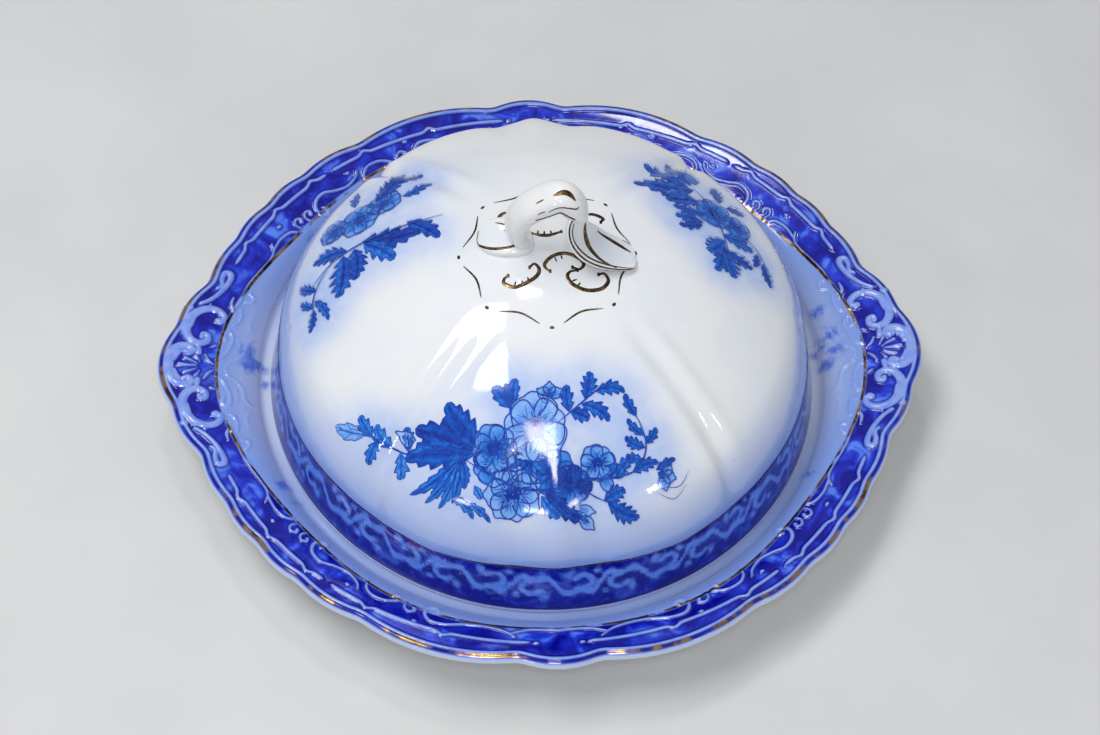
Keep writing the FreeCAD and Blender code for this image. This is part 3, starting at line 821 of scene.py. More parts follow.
def draw_front(spray):
    """The large spray at the front of the dome, drawn flat: x to the right, y to the crown."""
    stroke, leaf, petal, flower, bud = spray.stroke, spray.leaf, spray.petal, spray.flower, spray.bud
    # The long sprig that runs out to the left.
    stroke([(-30.0, -47.5), (-36.5, -48.6), (-42.5, -46.0), (-48.5, -41.0), (-53.0, -38.6)], 0.45)
    leaf((-48.5, -41.2), (-57.8, -36.6), 4.6, 0.06, 3, 0.3, 0.15)
    leaf((-47.0, -42.4), (-50.0, -36.0), 4.2, 0.05, 3, 0.66)
    leaf((-45.5, -43.4), (-49.6, -48.8), 4.0, -0.06, 3, 0.66)
    leaf((-42.5, -46.2), (-45.6, -39.4), 4.6, 0.08, 3, 0.62)
    leaf((-40.0, -47.4), (-40.6, -54.2), 5.0, 0.08, 3, 0.6)
    leaf((-37.4, -48.0), (-38.0, -41.6), 4.0, -0.06, 3, 0.7)
    petal((-35.0, -47.0), 140, 7.4, 3.4, 0.15)
    # The big dark leaf, in three lobes, and the finger leaves under it.
    leaf((-20.0, -50.6), (-38.6, -49.4), 8.4, -0.04, 5, 0.82, 0.24)
    leaf((-19.0, -49.4), (-26.4, -37.8), 8.0, 0.05, 5, 0.84, 0.24)
    leaf((-19.6, -50.2), (-35.2, -42.6), 8.4, 0.0, 5, 0.9, 0.24)
    for x, y, wide, tone in ((-38.6, -58.2, 3.2, 0.74), (-34.6, -60.8, 3.2, 0.7),
                             (-31.0, -62.6, 3.2, 0.66), (-27.2, -61.8, 3.0, 0.72),
                             (-23.6, -58.8, 3.0, 0.76)):
        leaf((-24.0, -51.2), (x, y), wide, 0.07, 5, tone, 0.22, False)
    leaf((-27.0, -60.0), (-22.0, -66.2), 2.8, 0.1, 3, 0.6)
    leaf((-24.0, -62.0), (-17.6, -67.6), 2.4, 0.1, 3, 0.62)
    leaf((-21.0, -58.2), (-19.4, -61.6), 2.2, 0.0, 2, 0.62, 0.2, False)
    # The stems that carry the flowers, and the fan leaves and bud above them.
    stroke([(-24.0, -51.0), (-17.0, -56.0), (-9.0, -60.0), (0.0, -60.2), (7.0, -58.2),
            (14.6, -57.8), (21.0, -55.4)], 0.6)
    stroke([(-10.4, -46.0), (-10.8, -42.6), (-10.6, -39.8)], 0.4)
    leaf((-10.8, -40.8), (-15.0, -35.4), 4.4, -0.05, 3, 0.72, 0.2)
    leaf((-10.4, -39.8), (-9.2, -33.8), 3.6, 0.06, 3, 0.72, 0.2)
    leaf((-10.6, -40.0), (-11.8, -34.8), 2.4, 0.0, 3, 0.78, 0.2)
    stroke([(-4.0, -43.0), (-2.4, -41.0), (-1.6, -39.2)], 0.4)
    bud((-1.3, -38.4), 2.3, 88)
    leaf((-1.6, -40.2), (-3.4, -38.0), 1.8, 0.0, 2, 0.9, 0.2, False)
    # The leaf spray to the right of the bud.
    stroke([(0.4, -44.8), (3.6, -42.4), (6.9, -39.8), (10.8, -36.8), (14.2, -36.0)], 0.4)
    leaf((3.4, -42.4), (3.0, -35.8), 3.8, 0.05, 3, 0.76, 0.35)
    leaf((7.4, -39.4), (8.7, -32.6), 4.4, -0.05, 4, 0.78, 0.35)
    leaf((10.0, -37.4), (17.4, -37.2), 4.0, 0.14, 4, 0.78, 0.35)
    leaf((6.4, -40.4), (13.4, -44.4), 4.4, 0.12, 4, 0.76, 0.35)
    leaf((3.6, -42.2), (8.4, -44.0), 4.0, 0.05, 3, 0.8, 0.3)
    # Blue grounds behind the flowers.
    for x, y, size in ((-15.6, -53.6, 6.0), (-6.6, -53.0, 6.6), (-1.2, -56.4, 6.0),
                       (3.6, -59.6, 5.4)):
        flower((x, y), size, 5, 20 * x, 0.5)
    # The flowers.
    flower((-15.4, -50.0), 6.2, 5, 40, 0.36)
    flower((-5.1, -45.8), 8.8, 5, 92, 0.16)
    flower((-11.4, -61.2), 7.6, 7, 20, 0.2)
    leaf((3.4, -60.4), (4.4, -54.6), 5.4, 0.0, 3, 0.95, 0.3)
    leaf((4.0, -59.8), (9.0, -59.8), 5.2, 0.0, 3, 0.97, 0.3)
    leaf((3.0, -58.8), (-2.0, -56.4), 5.0, 0.0, 3, 0.9, 0.3)
    flower((10.4, -54.4), 4.9, 5, 60, 0.28)
    petal((12.2, -55.6), 350, 6.0, 3.4, 0.4)
    petal((11.2, -56.6), 300, 5.8, 3.2, 0.34)
    # Leaves below the flowers.
    leaf((-3.4, -60.2), (8.2, -68.6), 4.6, -0.06, 5, 0.9, 0.28)
    leaf((-4.2, -61.8), (0.4, -67.0), 4.0, -0.05, 4, 0.6, 0.28)
    petal((5.6, -66.8), 318, 5.6, 3.2, 0.1)
    petal((4.6, -65.2), 350, 5.4, 2.8, 0.1)
    stroke([(6.4, -60.4), (9.8, -62.4), (13.0, -63.6)], 0.36)
    leaf((12.0, -63.4), (17.4, -60.4), 4.6, 0.05, 4, 0.74, 0.34)
    leaf((13.0, -63.8), (21.6, -67.0), 5.4, -0.08, 5, 0.8, 0.34)
    # The curved branch on the right and the last bud.
    stroke([(13.6, -57.6), (18.6, -56.6), (21.6, -53.6), (22.6, -49.4), (21.0, -44.4),
            (18.2, -40.6)], 0.4)
    leaf((20.2, -43.0), (17.2, -37.6), 3.0, 0.06, 3, 0.78)
    leaf((22.0, -47.4), (17.8, -43.6), 2.6, 0.08, 3, 0.74)
    leaf((22.4, -50.2), (17.2, -48.0), 3.4, 0.08, 4, 0.76)
    leaf((22.4, -49.4), (25.4, -45.2), 2.8, -0.06, 3, 0.76)
    leaf((21.8, -53.2), (17.4, -52.4), 3.0, 0.05, 3, 0.72)
    leaf((19.2, -56.2), (26.0, -53.4), 3.6, 0.08, 4, 0.74)
    leaf((15.0, -57.4), (19.4, -52.6), 3.4, 0.08, 3, 0.66)
    bud((27.0, -56.4), 2.6, 352, 0.2)
    leaf((25.4, -55.4), (30.6, -52.2), 2.4, 0.05, 3, 0.8)
    stroke([(27.6, -59.4), (32.0, -58.6), (34.4, -54.8)], 0.22)
    stroke([(26.0, -60.8), (30.8, -61.8), (34.0, -58.0)], 0.18)


def draw_left(spray):
    """The smaller spray at the back left, with its crown end at the top of the drawing."""
    stroke, leaf, flower = spray.stroke, spray.leaf, spray.flower
    stroke([(-2.0, -27.0), (3.5, -37.0), (9.0, -46.0), (15.5, -53.0), (24.0, -57.0)], 0.5)
    leaf((1.4, -36.0), (5.2, -24.4), 5.4, 0.05, 4, 0.84, 0.3)
    leaf((8.6, -46.6), (3.8, -30.6), 7.8, -0.06, 5, 0.95, 0.3)
    leaf((9.4, -45.6), (13.6, -33.6), 7.0, 0.06, 4, 0.72, 0.36)
    leaf((11.0, -48.0), (20.6, -42.6), 6.6, 0.08, 5, 0.84, 0.36)
    leaf((13.2, -50.6), (26.0, -45.6), 8.6, 0.06, 5, 0.8, 0.38)
    leaf((11.6, -50.0), (15.6, -60.4), 6.0, -0.08, 5, 0.78, 0.34)
    flower((0.6, -52.0), 6.4, 5, 70, 0.36)
    flower((-5.6, -47.2), 5.2, 5, 20, 0.34)
    flower((4.6, -58.8), 4.6, 5, 50, 0.4)
    leaf((-6.6, -50.6), (-16.4, -47.0), 7.8, 0.05, 5, 0.86, 0.32)
    leaf((-13.0, -48.0), (-19.6, -49.2), 4.4, 0.05, 3, 0.8, 0.36)
    leaf((-13.0, -46.4), (-17.6, -41.4), 4.0, 0.05, 3, 0.8, 0.36)
    leaf((-8.0, -42.6), (-13.4, -36.0), 3.6, -0.1, 4, 0.72, 0.34)
    leaf((-5.0, -57.0), (-12.0, -60.6), 3.4, 0.05, 3, 0.7)
    stroke([(15.5, -53.0), (22.6, -54.4), (28.0, -53.6), (31.6, -50.6)], 0.4)
    leaf((24.0, -54.6), (22.6, -61.8), 3.6, 0.05, 4, 0.74)
    leaf((29.0, -53.0), (27.6, -58.8), 2.8, 0.05, 3, 0.74)
    leaf((29.6, -52.6), (36.4, -50.6), 2.8, 0.08, 4, 0.78)
    leaf((27.0, -53.6), (32.4, -45.6), 3.0, 0.08, 4, 0.72)


def draw_right(spray):
    """The smaller spray at the back right."""
    stroke, leaf, petal, flower = spray.stroke, spray.leaf, spray.petal, spray.flower
    leaf((8.0, -48.0), (12.8, -30.6), 7.6, 0.08, 5, 0.8, 0.3)
    leaf((9.4, -47.0), (19.6, -38.4), 7.0, 0.05, 4, 0.74, 0.34)
    leaf((10.0, -48.6), (21.2, -48.6), 6.4, 0.08, 4, 0.76, 0.34)
    leaf((3.0, -46.4), (5.0, -36.0), 6.2, -0.05, 4, 0.8, 0.3)
    petal((6.4, -45.8), 84, 9.0, 4.6, 0.45)
    petal((10.4, -52.6), 30, 7.0, 4.2, 0.4)
    stroke([(9.0, -48.0), (0.5, -48.6), (-8.0, -46.4), (-15.0, -44.0)], 0.5)
    flower((-1.6, -48.4), 6.0, 5, 30, 0.45)
    flower((-7.0, -53.0), 4.6, 5, 10, 0.4)
    leaf((-2.0, -45.4), (2.6, -36.6), 4.0, 0.05, 4, 0.7)
    leaf((-4.6, -42.2), (-1.0, -35.0), 4.4, -0.05, 4, 0.72, 0.36)
    leaf((-5.4, -41.4), (-4.2, -34.0), 3.6, 0.05, 3, 0.84, 0.36)
    leaf((-9.0, -46.2), (-15.2, -53.6), 5.6, 0.05, 4, 0.7, 0.34)
    leaf((-11.0, -45.4), (-13.6, -37.6), 6.8, 0.05, 5, 0.74, 0.38)
    leaf((-13.8, -44.4), (-22.8, -41.2), 6.6, -0.05, 5, 0.74, 0.38)
    leaf((-13.0, -44.0), (-19.8, -36.4), 5.4, 0.05, 4, 0.72, 0.38)
    leaf((-14.6, -44.8), (-20.6, -49.6), 4.2, -0.05, 4, 0.8, 0.36)
    stroke([(-10.0, -53.6), (-16.0, -55.0), (-21.6, -54.6)], 0.34)
    leaf((-16.0, -54.6), (-19.8, -50.8), 2.8, 0.05, 3, 0.8)
    leaf((-19.0, -54.8), (-26.6, -53.2), 3.2, -0.05, 4, 0.8)
    leaf((3.0, -54.0), (9.6, -57.6), 4.4, 0.05, 4, 0.8)
    leaf((1.0, -55.0), (-1.6, -60.4), 3.6, 0.05, 3, 0.8)


def spray_haze(angle, along, sprays):
    """The soft blue that has flowed from the print into the glaze."""
    total = np.zeros(angle.shape)
    for spray in sprays:
        turn = np.radians(angle - spray.centre)
        x, y = along * np.sin(turn), spray.out - along * np.cos(turn)
        for mx, my in spray.marks:
            near = (x - mx) ** 2 + (y - my) ** 2
            total += spray.flow * np.exp(-near / HAZE_REACH ** 2)
    return 1 - np.exp(-total)


# ---------------------------------------------------------------- gilding on the crown


class Gilding(Patches):
    """Raised gold strokes that follow a surface given by place(x, y, lift)."""

    def __init__(self, place):
        super().__init__()
        self.place = place

    def stroke(self, points, width, taper=0.35):
        line, side, t = line_with_sides(points, 6)
        half = width / 2 * np.maximum(taper, np.sin(np.pi * (0.06 + 0.88 * t)) ** 0.6)[:, None]
        rows, ups = [], []
        for k, lift in ((1, 0.02), (0.6, 0.1), (0, 0.13), (-0.6, 0.1), (-1, 0.02)):
            flat = line + side * half * k
            rows.append(self.place(flat[:, 0], flat[:, 1], lift))
            ups.append(rows[-1] - self.place(flat[:, 0], flat[:, 1], 0.0))
        points, up = (np.stack(part, axis=1).reshape(-1, 3) for part in (rows, ups))
        self.add(points, len(rows), up)


def crown_place(x, y, lift):
    """A point of the crown above a place on the plan, raised by lift."""
    radius = np.hypot(x, y)
    along = CROWN_RADIUS * np.arcsin(np.clip(radius / CROWN_RADIUS, 0, 1))
    return cover_place(np.degrees(np.arctan2(y, x)), along, lift)


def gild_crown():
    """The broken octagon round the handle and the comb-edged scrolls inside it."""
    gold = Gilding(crown_place)
    corner = 21.5
    for k in range(8):
        a, b = 45 * k, 45 * k + 45
        start, end = polar(a + 8, corner - 0.9), polar(b - 8, corner - 0.9)
        middle = polar(a + 22.5, corner - 2.6)
        gold.stroke([start, middle, end], 0.5)
        gold.stroke([polar(a - 1.4, corner), polar(a + 1.4, corner)], 0.8, 0.7)
    scrolls = [
        [(-4.6, -5.3), (-3.4, -4.3), (-2.3, -6.0), (-3.2, -8.0), (-6.0, -9.8), (-8.6, -10.5),
         (-10.8, -9.3), (-10.8, -8.0), (-9.8, -7.2)],
        [(0.3, -6.6), (-0.7, -5.8), (-0.9, -4.4), (1.0, -2.3), (4.0, -1.4), (7.0, -2.5),
         (8.5, -4.5), (7.4, -6.0), (5.7, -5.5)],
        [(6.9, -6.3), (5.0, -6.8), (4.4, -8.3), (5.7, -10.4), (8.8, -11.8), (12.4, -11.2),
         (14.2, -9.0), (13.4, -7.0), (11.9, -7.3)],
        [(-8.6, 12.4), (-10.4, 12.2), (-11.4, 10.6), (-10.5, 9.2)],
        [(9.2, 11.0), (11.8, 11.4), (14.1, 10.2), (13.5, 8.9)],
        [(-3.6, 4.9), (-1.6, 4.3), (0.6, 4.2), (3.6, 5.3)],
    ]
    for points in scrolls:
        gold.stroke(points, 1.05, 0.6)
        for end in (points[0], points[-1]):
            gold.stroke([(end[0] - 0.3, end[1]), (end[0] + 0.3, end[1])], 1.1, 0.95)
    combs = [((-8.4, -10.2), (-8.0, -8.9)), ((-6.6, -9.9), (-6.5, -8.8)),
             ((-5.0, -9.1), (-5.2, -8.0)), ((1.6, -2.6), (2.0, -3.9)), ((3.2, -1.9), (3.3, -3.2)),
             ((5.4, -9.4), (6.6, -8.9)), ((6.6, -10.8), (7.4, -9.8)),
             ((-2.2, 4.6), (-2.0, 5.8)), ((-0.6, 4.4), (-0.5, 5.6)), ((1.2, 4.5), (1.0, 5.7))]
    for start, end in combs:
        gold.stroke([start, end], 0.45)
    return gold.make("crown_gilding")


# ---------------------------------------------------------------- the handle


# How square a strap's section is (1 is an ellipse), and its points round.
STRAP_EDGE = 0.85
STRAP_POINTS = 40


class Strap:
    """A ribbon of clay through stations: x, y, z, half width, half thickness, face x, y, z.

    The face direction is the way its broad side looks, and channel hollows that side. Its places
    are given as a share t of its length and an angle round it, 0 at one edge and 90 on the face."""

    def __init__(self, stations, channel):
        table = smooth_line(stations, 8)
        self.middle, self.wide, self.thick = table[:, :3], table[:, 3], table[:, 4]
        ahead = np.gradient(self.middle, axis=0)
        ahead /= np.linalg.norm(ahead, axis=1)[:, None]
        face = table[:, 5:8] - ahead * np.sum(table[:, 5:8] * ahead, axis=1)[:, None]
        self.face = face / np.linalg.norm(face, axis=1)[:, None]
        self.side = np.cross(ahead, self.face)
        self.steps = np.linspace(0, 1, len(table))
        self.length = np.linalg.norm(np.diff(self.middle, axis=0), axis=1).sum()
        self.channel = channel

    def at(self, values, t):
        if values.ndim == 1:
            return np.interp(t, self.steps, values)
        return np.stack([np.interp(t, self.steps, values[:, k]) for k in range(3)], axis=-1)

    def hollow(self, angle):
        """How deep the channel is at an angle, as a share of the half thickness."""
        return self.channel * np.clip(np.sin(angle), 0, 1) ** 2.4

    def surface(self, t, angle, lift=0.0):
        """Points at shares t and angles in radians, lifted off the clay."""
        t, angle = np.broadcast_arrays(t, angle)
        across = np.sign(np.cos(angle)) * np.abs(np.cos(angle)) ** STRAP_EDGE
        up = np.sign(np.sin(angle)) * np.abs(np.sin(angle)) ** STRAP_EDGE
        up = up - self.hollow(angle % (2 * np.pi))
        out = across * self.at(self.wide, t) + lift * np.cos(angle)
        rise = up * self.at(self.thick, t) + lift * np.sin(angle)
        return (self.at(self.middle, t) + self.at(self.side, t) * out[..., None]
                + self.at(self.face, t) * rise[..., None])

    def chart(self, x, y, lift):
        """Points for gilding: x along the strap and y across it in millimetres."""
        t = np.clip(x / self.length, 0, 1)
        reach = (self.at(self.wide, t) + self.at(self.thick, t)) / 2
        return self.surface(t, np.pi / 2 - y / reach, lift)

    def make(self, name):
        a = np.linspace(0, 2 * np.pi, STRAP_POINTS, endpoint=False)
        count = len(self.steps)
        rings = self.surface(self.steps[:, None], a[None, :])
        points = np.vstack([rings.reshape(-1, 3), self.middle[:1], self.middle[-1:]])
        # The channel's depth goes to the material too, which paints shade into the hollow.
        hollow = np.concatenate([np.tile(self.hollow(a), count), [0, 0]])
        piece = make_mesh(name, points, capped_faces(count, STRAP_POINTS), {"hollow": hollow})
        face_outwards(piece)
        return piece


ARCH = [(-4.8, 2.4, 63.2, 2.8, 1.7, -1, -0.5, 0.1), (-6.4, 1.9, 66.8, 3.1, 1.9, -1, -0.4, 0.1),
        (-7.9, 1.3, 71.4, 3.3, 2.2, -1, -0.4, 0.2), (-7.3, 0.8, 76.8, 3.8, 2.7, -1, -0.3, 0.4),
        (-4.9, 0.3, 81.4, 4.1, 3.0, -0.6, -0.2, 1), (-1.2, 0.0, 84.6, 4.2, 3.1, -0.1, -0.2, 1),
        (2.6, -0.4, LOOP_TOP - 3.5, 4.0, 3.2, 0.15, -0.2, 1),
        (5.4, -0.9, 84.2, 3.8, 3.1, 0.8, -0.2, 0.8),
        (6.8, -0.9, 80.6, 3.3, 2.6, 1, -0.1, 0.2), (7.2, -0.2, 75.2, 2.5, 1.8, 1, 0, 0.1),
        (8.6, 0.4, 70.0, 2.5, 1.6, 1, 0.1, 0.2), (10.2, 0.7, 65.5, 2.8, 1.6, 1, 0.1, 0.3),
        (11.2, 0.8, 62.6, 2.8, 1.6, 1, 0.1, 0.3)]
PAD = [(-3.4, 0.8, 65.8, 1.2, 1.0, 0.3, 0, 1), (-5.0, 1.2, 66.3, 3.4, 2.1, 0.2, -0.1, 1),
       (-8.0, 2.4, 66.7, 4.8, 2.5, 0, -0.15, 1), (-11.2, 3.6, 66.4, 5.2, 2.5, -0.1, -0.2, 1),
       (-14.0, 4.4, 65.8, 4.5, 2.2, -0.2, -0.15, 1), (-16.0, 4.9, 65.1, 2.9, 1.5, -0.4, -0.1, 1),
       (-16.9, 5.1, 64.6, 0.8, 0.5, -0.6, 0, 1)]
LEAF = [(6.2, -3.2, 83.2, 1.6, 1.2, 0.5, -1, 0.4), (6.2, -4.2, 80.6, 2.7, 1.6, 0.5, -1, 0.4),
        (7.2, -4.3, 77.0, 3.8, 1.8, 0.6, -0.8, 0.5), (9.4, -4.0, 73.2, 4.7, 1.9, 0.6, -0.6, 0.8),
        (12.2, -3.4, 70.0, 4.9, 1.9, 0.5, -0.4, 1), (15.2, -2.8, 67.6, 4.7, 1.8, 0.4, -0.25, 1),
        (18.2, -2.3, 65.8, 4.3, 1.6, 0.35, -0.1, 1), (20.4, -1.9, 64.7, 3.3, 1.2, 0.35, 0, 1),
        (21.3, -1.8, 64.1, 1.1, 0.5, 0.5, 0, 1)]


def gild_straps(arch, pad, leaf):
    """The gold and worn dark lines on the handle."""
    on_arch = Gilding(arch.chart)
    on_arch.stroke([(26.4, 0.9), (28.2, 0.3), (30.0, 1.0)], 1.0, 0.3)
    on_arch.stroke([(24.4, 4.6), (28.4, 4.0), (31.0, 2.8), (31.4, 1.8)], 0.4, 0.4)
    on_arch.stroke([(22.2, 1.2), (24.4, 1.0)], 0.3)
    on_arch.stroke([(21.6, 4.0), (23.8, 4.0)], 0.3)
    on_arch.stroke([(20.0, 5.6), (24.0, 6.3), (28.0, 6.2), (31.6, 5.8), (34.0, 5.0)], 0.7, 0.3)
    on_pad = Gilding(pad.chart)
    on_pad.stroke([(13.0, 0.8), (13.5, -0.8), (12.3, -2.4), (9.0, -3.2), (5.6, -2.6),
                   (3.6, -0.8)], 0.95, 0.5)
    on_pad.stroke([(8.6, 2.2), (6.4, 1.8), (4.4, 1.2)], 0.4)
    on_pad.stroke([(6.8, 0.8), (5.2, 0.6), (4.0, 1.4)], 0.35)
    on_leaf = Gilding(leaf.chart)
    on_leaf.stroke([(2.6, -1.2), (1.4, 0.0), (2.4, 1.6), (6.0, 3.0), (12.0, 4.0), (18.0, 4.2),
                    (23.0, 3.8), (26.6, 2.8), (28.0, 1.2)], 0.8, 0.6)
    on_leaf.stroke([(2.6, 0.4), (6.0, 1.7), (12.0, 2.6), (17.0, 3.0), (21.0, 3.4)], 0.5, 0.4)
    on_leaf.stroke([(11.0, -2.6), (15.0, -2.2), (19.0, -1.4), (22.6, -0.6)], 0.7, 0.4)
    on_leaf.stroke([(20.0, -3.4), (23.4, -2.6)], 0.6, 0.4)
    on_leaf.stroke([(3.6, -1.8), (7.0, -0.8), (11.0, 0.8), (14.0, 2.2), (17.0, 3.4)], 0.8, 0.3)
    return [on_arch.make("arch_gilding"), on_pad.make("pad_gilding"), on_leaf.make("leaf_gilding")]


def make_handle():
    """The looped ribbon: a thick arch, a curled pad on its left and a folded leaf on its right."""
    arch, pad, leaf = Strap(ARCH, 0.05), Strap(PAD, 0.5), Strap(LEAF, 0.95)
    pieces = {"ribbon_loop": arch.make("ribbon_loop"),
              "ribbon_end_left": pad.make("ribbon_end_left"),
              "ribbon_end_right": leaf.make("ribbon_end_right")}
    return pieces, gild_straps(arch, pad, leaf)


# ---------------------------------------------------------------- materials


SPECULAR = 0.55


class Shader:
    """A material's node tree, with short names for the nodes that the glazes share."""

    def __init__(self, name, roughness, metallic=0.0):
        self.material = bpy.data.materials.new(name)
        self.material.use_nodes = True
        self.tree = self.material.node_tree
        self.surface = self.tree.nodes["Principled BSDF"]
        self.feed_all(self.surface, {"Roughness": roughness, "Specular IOR Level": SPECULAR,
                                     "Metallic": metallic})
        self.place = self.tree.nodes.new("ShaderNodeTexCoord").outputs["Object"]

    def feed(self, socket, value):
        """Puts a number, a colour or another node's output into a socket."""
        if isinstance(value, bpy.types.NodeSocket):
            self.tree.links.new(value, socket)
        elif isinstance(value, tuple):
            socket.default_value = (*value, 1.0)
        else:
            socket.default_value = value

    def feed_all(self, node, inputs):
        for socket, value in inputs.items():
            self.feed(node.inputs[socket], value)

    def node(self, kind, output, inputs, **settings):
        """Adds a node with its settings and inputs, and gives one of its outputs."""
        node = self.tree.nodes.new("ShaderNode" + kind)
        for name, value in settings.items():
            setattr(node, name, value)
        self.feed_all(node, inputs)
        return node.outputs[output]

    def layer(self, name):
        return self.node("Attribute", "Fac", {}, attribute_name=name)

    def noise(self, size, detail=3.0, roughness=0.55, distortion=0.0):
        """Noise whose features are about size millimetres across."""
        return self.node("TexNoise", "Fac", {"Vector": self.place, "Scale": 1 / (size * MM),
                                             "Detail": detail, "Roughness": roughness,
                                             "Distortion": distortion})

    def spots(self, size):
        """The distance to the nearest of scattered points about size millimetres apart."""
        return self.node("TexVoronoi", "Distance",
                         {"Vector": self.place, "Scale": 1 / (size * MM)})

    def step(self, value, low, high, bottom=0.0, top=1.0):
        """A smooth step from bottom to top as value goes from low to high."""
        return self.node("MapRange", "Result", {"Value": value, "From Min": low, "From Max": high,
                                                "To Min": bottom, "To Max": top},
                         interpolation_type="SMOOTHSTEP")

    def maths(self, operation, first, second=0.0):
        return self.node("Math", 0, {0: first, 1: second}, operation=operation)

    def times(self, first, second):
        return self.maths("MULTIPLY", first, second)

    def plus(self, first, second):
        return self.maths("ADD", first, second)

    def line_at(self, value, place, core, edge, top=1.0):
        """A line where value is near place: full to core away from it, and gone at edge."""
        away = self.maths("ABSOLUTE", self.maths("SUBTRACT", value, place))
        return self.step(away, core, edge, top, 0.0)

    def mix(self, factor, first, second):
        return self.node("Mix", 2, {"Factor": factor, 6: first, 7: second}, data_type="RGBA")

    def ramp(self, value, stops):
        node = self.tree.nodes.new("ShaderNodeValToRGB")
        self.feed(node.inputs["Fac"], value)
        elements = node.color_ramp.elements
        while len(elements) < len(stops):
            elements.new(0.5)
        for element, (position, colour) in zip(elements, stops):
            element.position = position
            element.color = (*colour, 1.0)
        return node.outputs["Color"]

    def finish(self, colour, wavy=True, **inputs):
        """Feeds the surface, with the slight waviness of a thick glaze, and gives the material."""
        self.feed_all(self.surface, {"Base Color": colour, **inputs})
        if wavy:
            bump = {"Height": self.noise(4.5, 2, 0.5), "Strength": 0.25, "Distance": 0.12 * MM}
            self.feed(self.surface.inputs["Normal"], self.node("Bump", "Normal", bump))
        return self.material


WHITE = (0.80, 0.81, 0.82)
COOL_WHITE = (0.66, 0.72, 0.83)
WALL_BLUE = (0.215, 0.325, 0.67)
FLOW_BLUE = (0.20, 0.33, 0.78)
DEEP = (0.0012, 0.0012, 0.25)
DARK = (0.002, 0.003, 0.10)
MIDDLE = (0.014, 0.045, 0.62)
BRIGHT = (0.10, 0.23, 0.86)
PURPLE = (0.030, 0.005, 0.20)
RELIEF = (0.29, 0.41, 0.83)
GOLD = (0.46, 0.27, 0.10)
SPECK = (0.05, 0.045, 0.05)
SPRIG_BLUE = (0.035, 0.12, 0.60)
EDGE_BLUE = (0.50, 0.60, 0.86)
RUBBED = (0.07, 0.04, 0.03)
SKIRT_BLUE = (0.31, 0.43, 0.80)
HAZE_BLUE = (0.33, 0.47, 0.85)
SCROLL_BLUE = (0.12, 0.27, 0.88)
FOOT_BLUE = (0.62, 0.70, 0.88)


def glaze_body(shader, colour=WHITE):
    """White glaze with a faint cloudiness and a few dark specks from the kiln."""
    cloud = shader.step(shader.noise(28, 3), 0.42, 0.68, 0.0, 0.35)
    body = shader.mix(cloud, colour, COOL_WHITE)
    speck = shader.step(shader.spots(11), 0.0, 0.028, 1.0, 0.0)
    return shader.mix(speck, body, SPECK)


def cobalt(shader, size):
    """Flowed cobalt: deep and mid blues run together, with purplish patches."""
    blotch = shader.noise(size, 3.5, 0.5, 0.8)
    base = shader.ramp(blotch, [(0.40, DEEP), (0.50, (0.008, 0.018, 0.44)), (0.57, MIDDLE),
                                (0.68, BRIGHT)])
    tint = shader.step(shader.noise(size * 2.1, 2), 0.56, 0.70, 0.0, 0.35)
    return shader.mix(tint, base, PURPLE)


def dish_material():
    shader = Shader("dish_glaze_material", 0.09)
    line = shader.layer("from_line")
    edge = shader.layer("from_edge")
    stroke = shader.layer("stroke")
    upper = shader.step(shader.layer("upper"), -0.2, 0.4)
    wall = shader.mix(shader.step(line, -16.0, -1.0, 0.35, 1.0), glaze_body(shader), WALL_BLUE)
    wander = shader.maths("MULTIPLY_ADD", shader.noise(3.0), 1.2)
    blur = shader.step(shader.plus(line, wander), -1.6, 1.4, 0.0, 0.75)
    torn = shader.step(shader.noise(3.2, 4, 0.65), 0.30, 0.62)
    sprig = shader.times(shader.layer("sprig"), torn)
    wall = shader.mix(shader.step(sprig, 0.02, 0.95, 0.0, 0.85), wall, SPRIG_BLUE)
    wall = shader.mix(blur, wall, FLOW_BLUE)
    band = cobalt(shader, 7.0)
    pooled = shader.step(stroke, -0.9, -0.1, 0.0, 0.75)
    band = shader.mix(pooled, band, DEEP)
    colour = shader.mix(shader.step(line, 0.1, 0.7), wall, band)
    raised = shader.step(stroke, -0.12, 0.35, 0.0, 0.92)
    glaze_over = shader.step(shader.noise(2.5), 0.35, 0.7, 0.0, 0.5)
    relief = shader.mix(glaze_over, RELIEF, BRIGHT)
    colour = shader.mix(raised, colour, relief)
    thin = shader.step(edge, 0.15, 0.6, 1.0, 0.0)
    colour = shader.mix(thin, colour, EDGE_BLUE)
    # Gold: a line round the inside of the band, and worn dabs between the two edge lines.
    on_line = shader.step(shader.maths("ABSOLUTE", line), 0.22, 0.5, 1.0, 0.0)
    worn = shader.step(shader.noise(9, 4, 0.65), 0.36, 0.50)
    on_edge = shader.line_at(edge, 1.2, 0.3, 0.6)
    dabs = shader.step(shader.noise(16, 3, 0.6), 0.48, 0.58)
    gold = shader.maths("MAXIMUM", shader.times(on_line, worn), shader.times(on_edge, dabs))
    gold = shader.times(gold, upper)
    metal = shader.mix(shader.step(shader.noise(4, 4), 0.4, 0.6), RUBBED, GOLD)
    colour = shader.mix(gold, colour, metal)
    below = shader.mix(shader.step(shader.noise(22), 0.4, 0.7, 0.0, 0.6), WHITE, COOL_WHITE)
    return shader.finish(shader.mix(upper, below, colour), Metallic=shader.times(gold, 0.9),
                         Roughness=shader.step(gold, 0, 1, 0.08, 0.24))


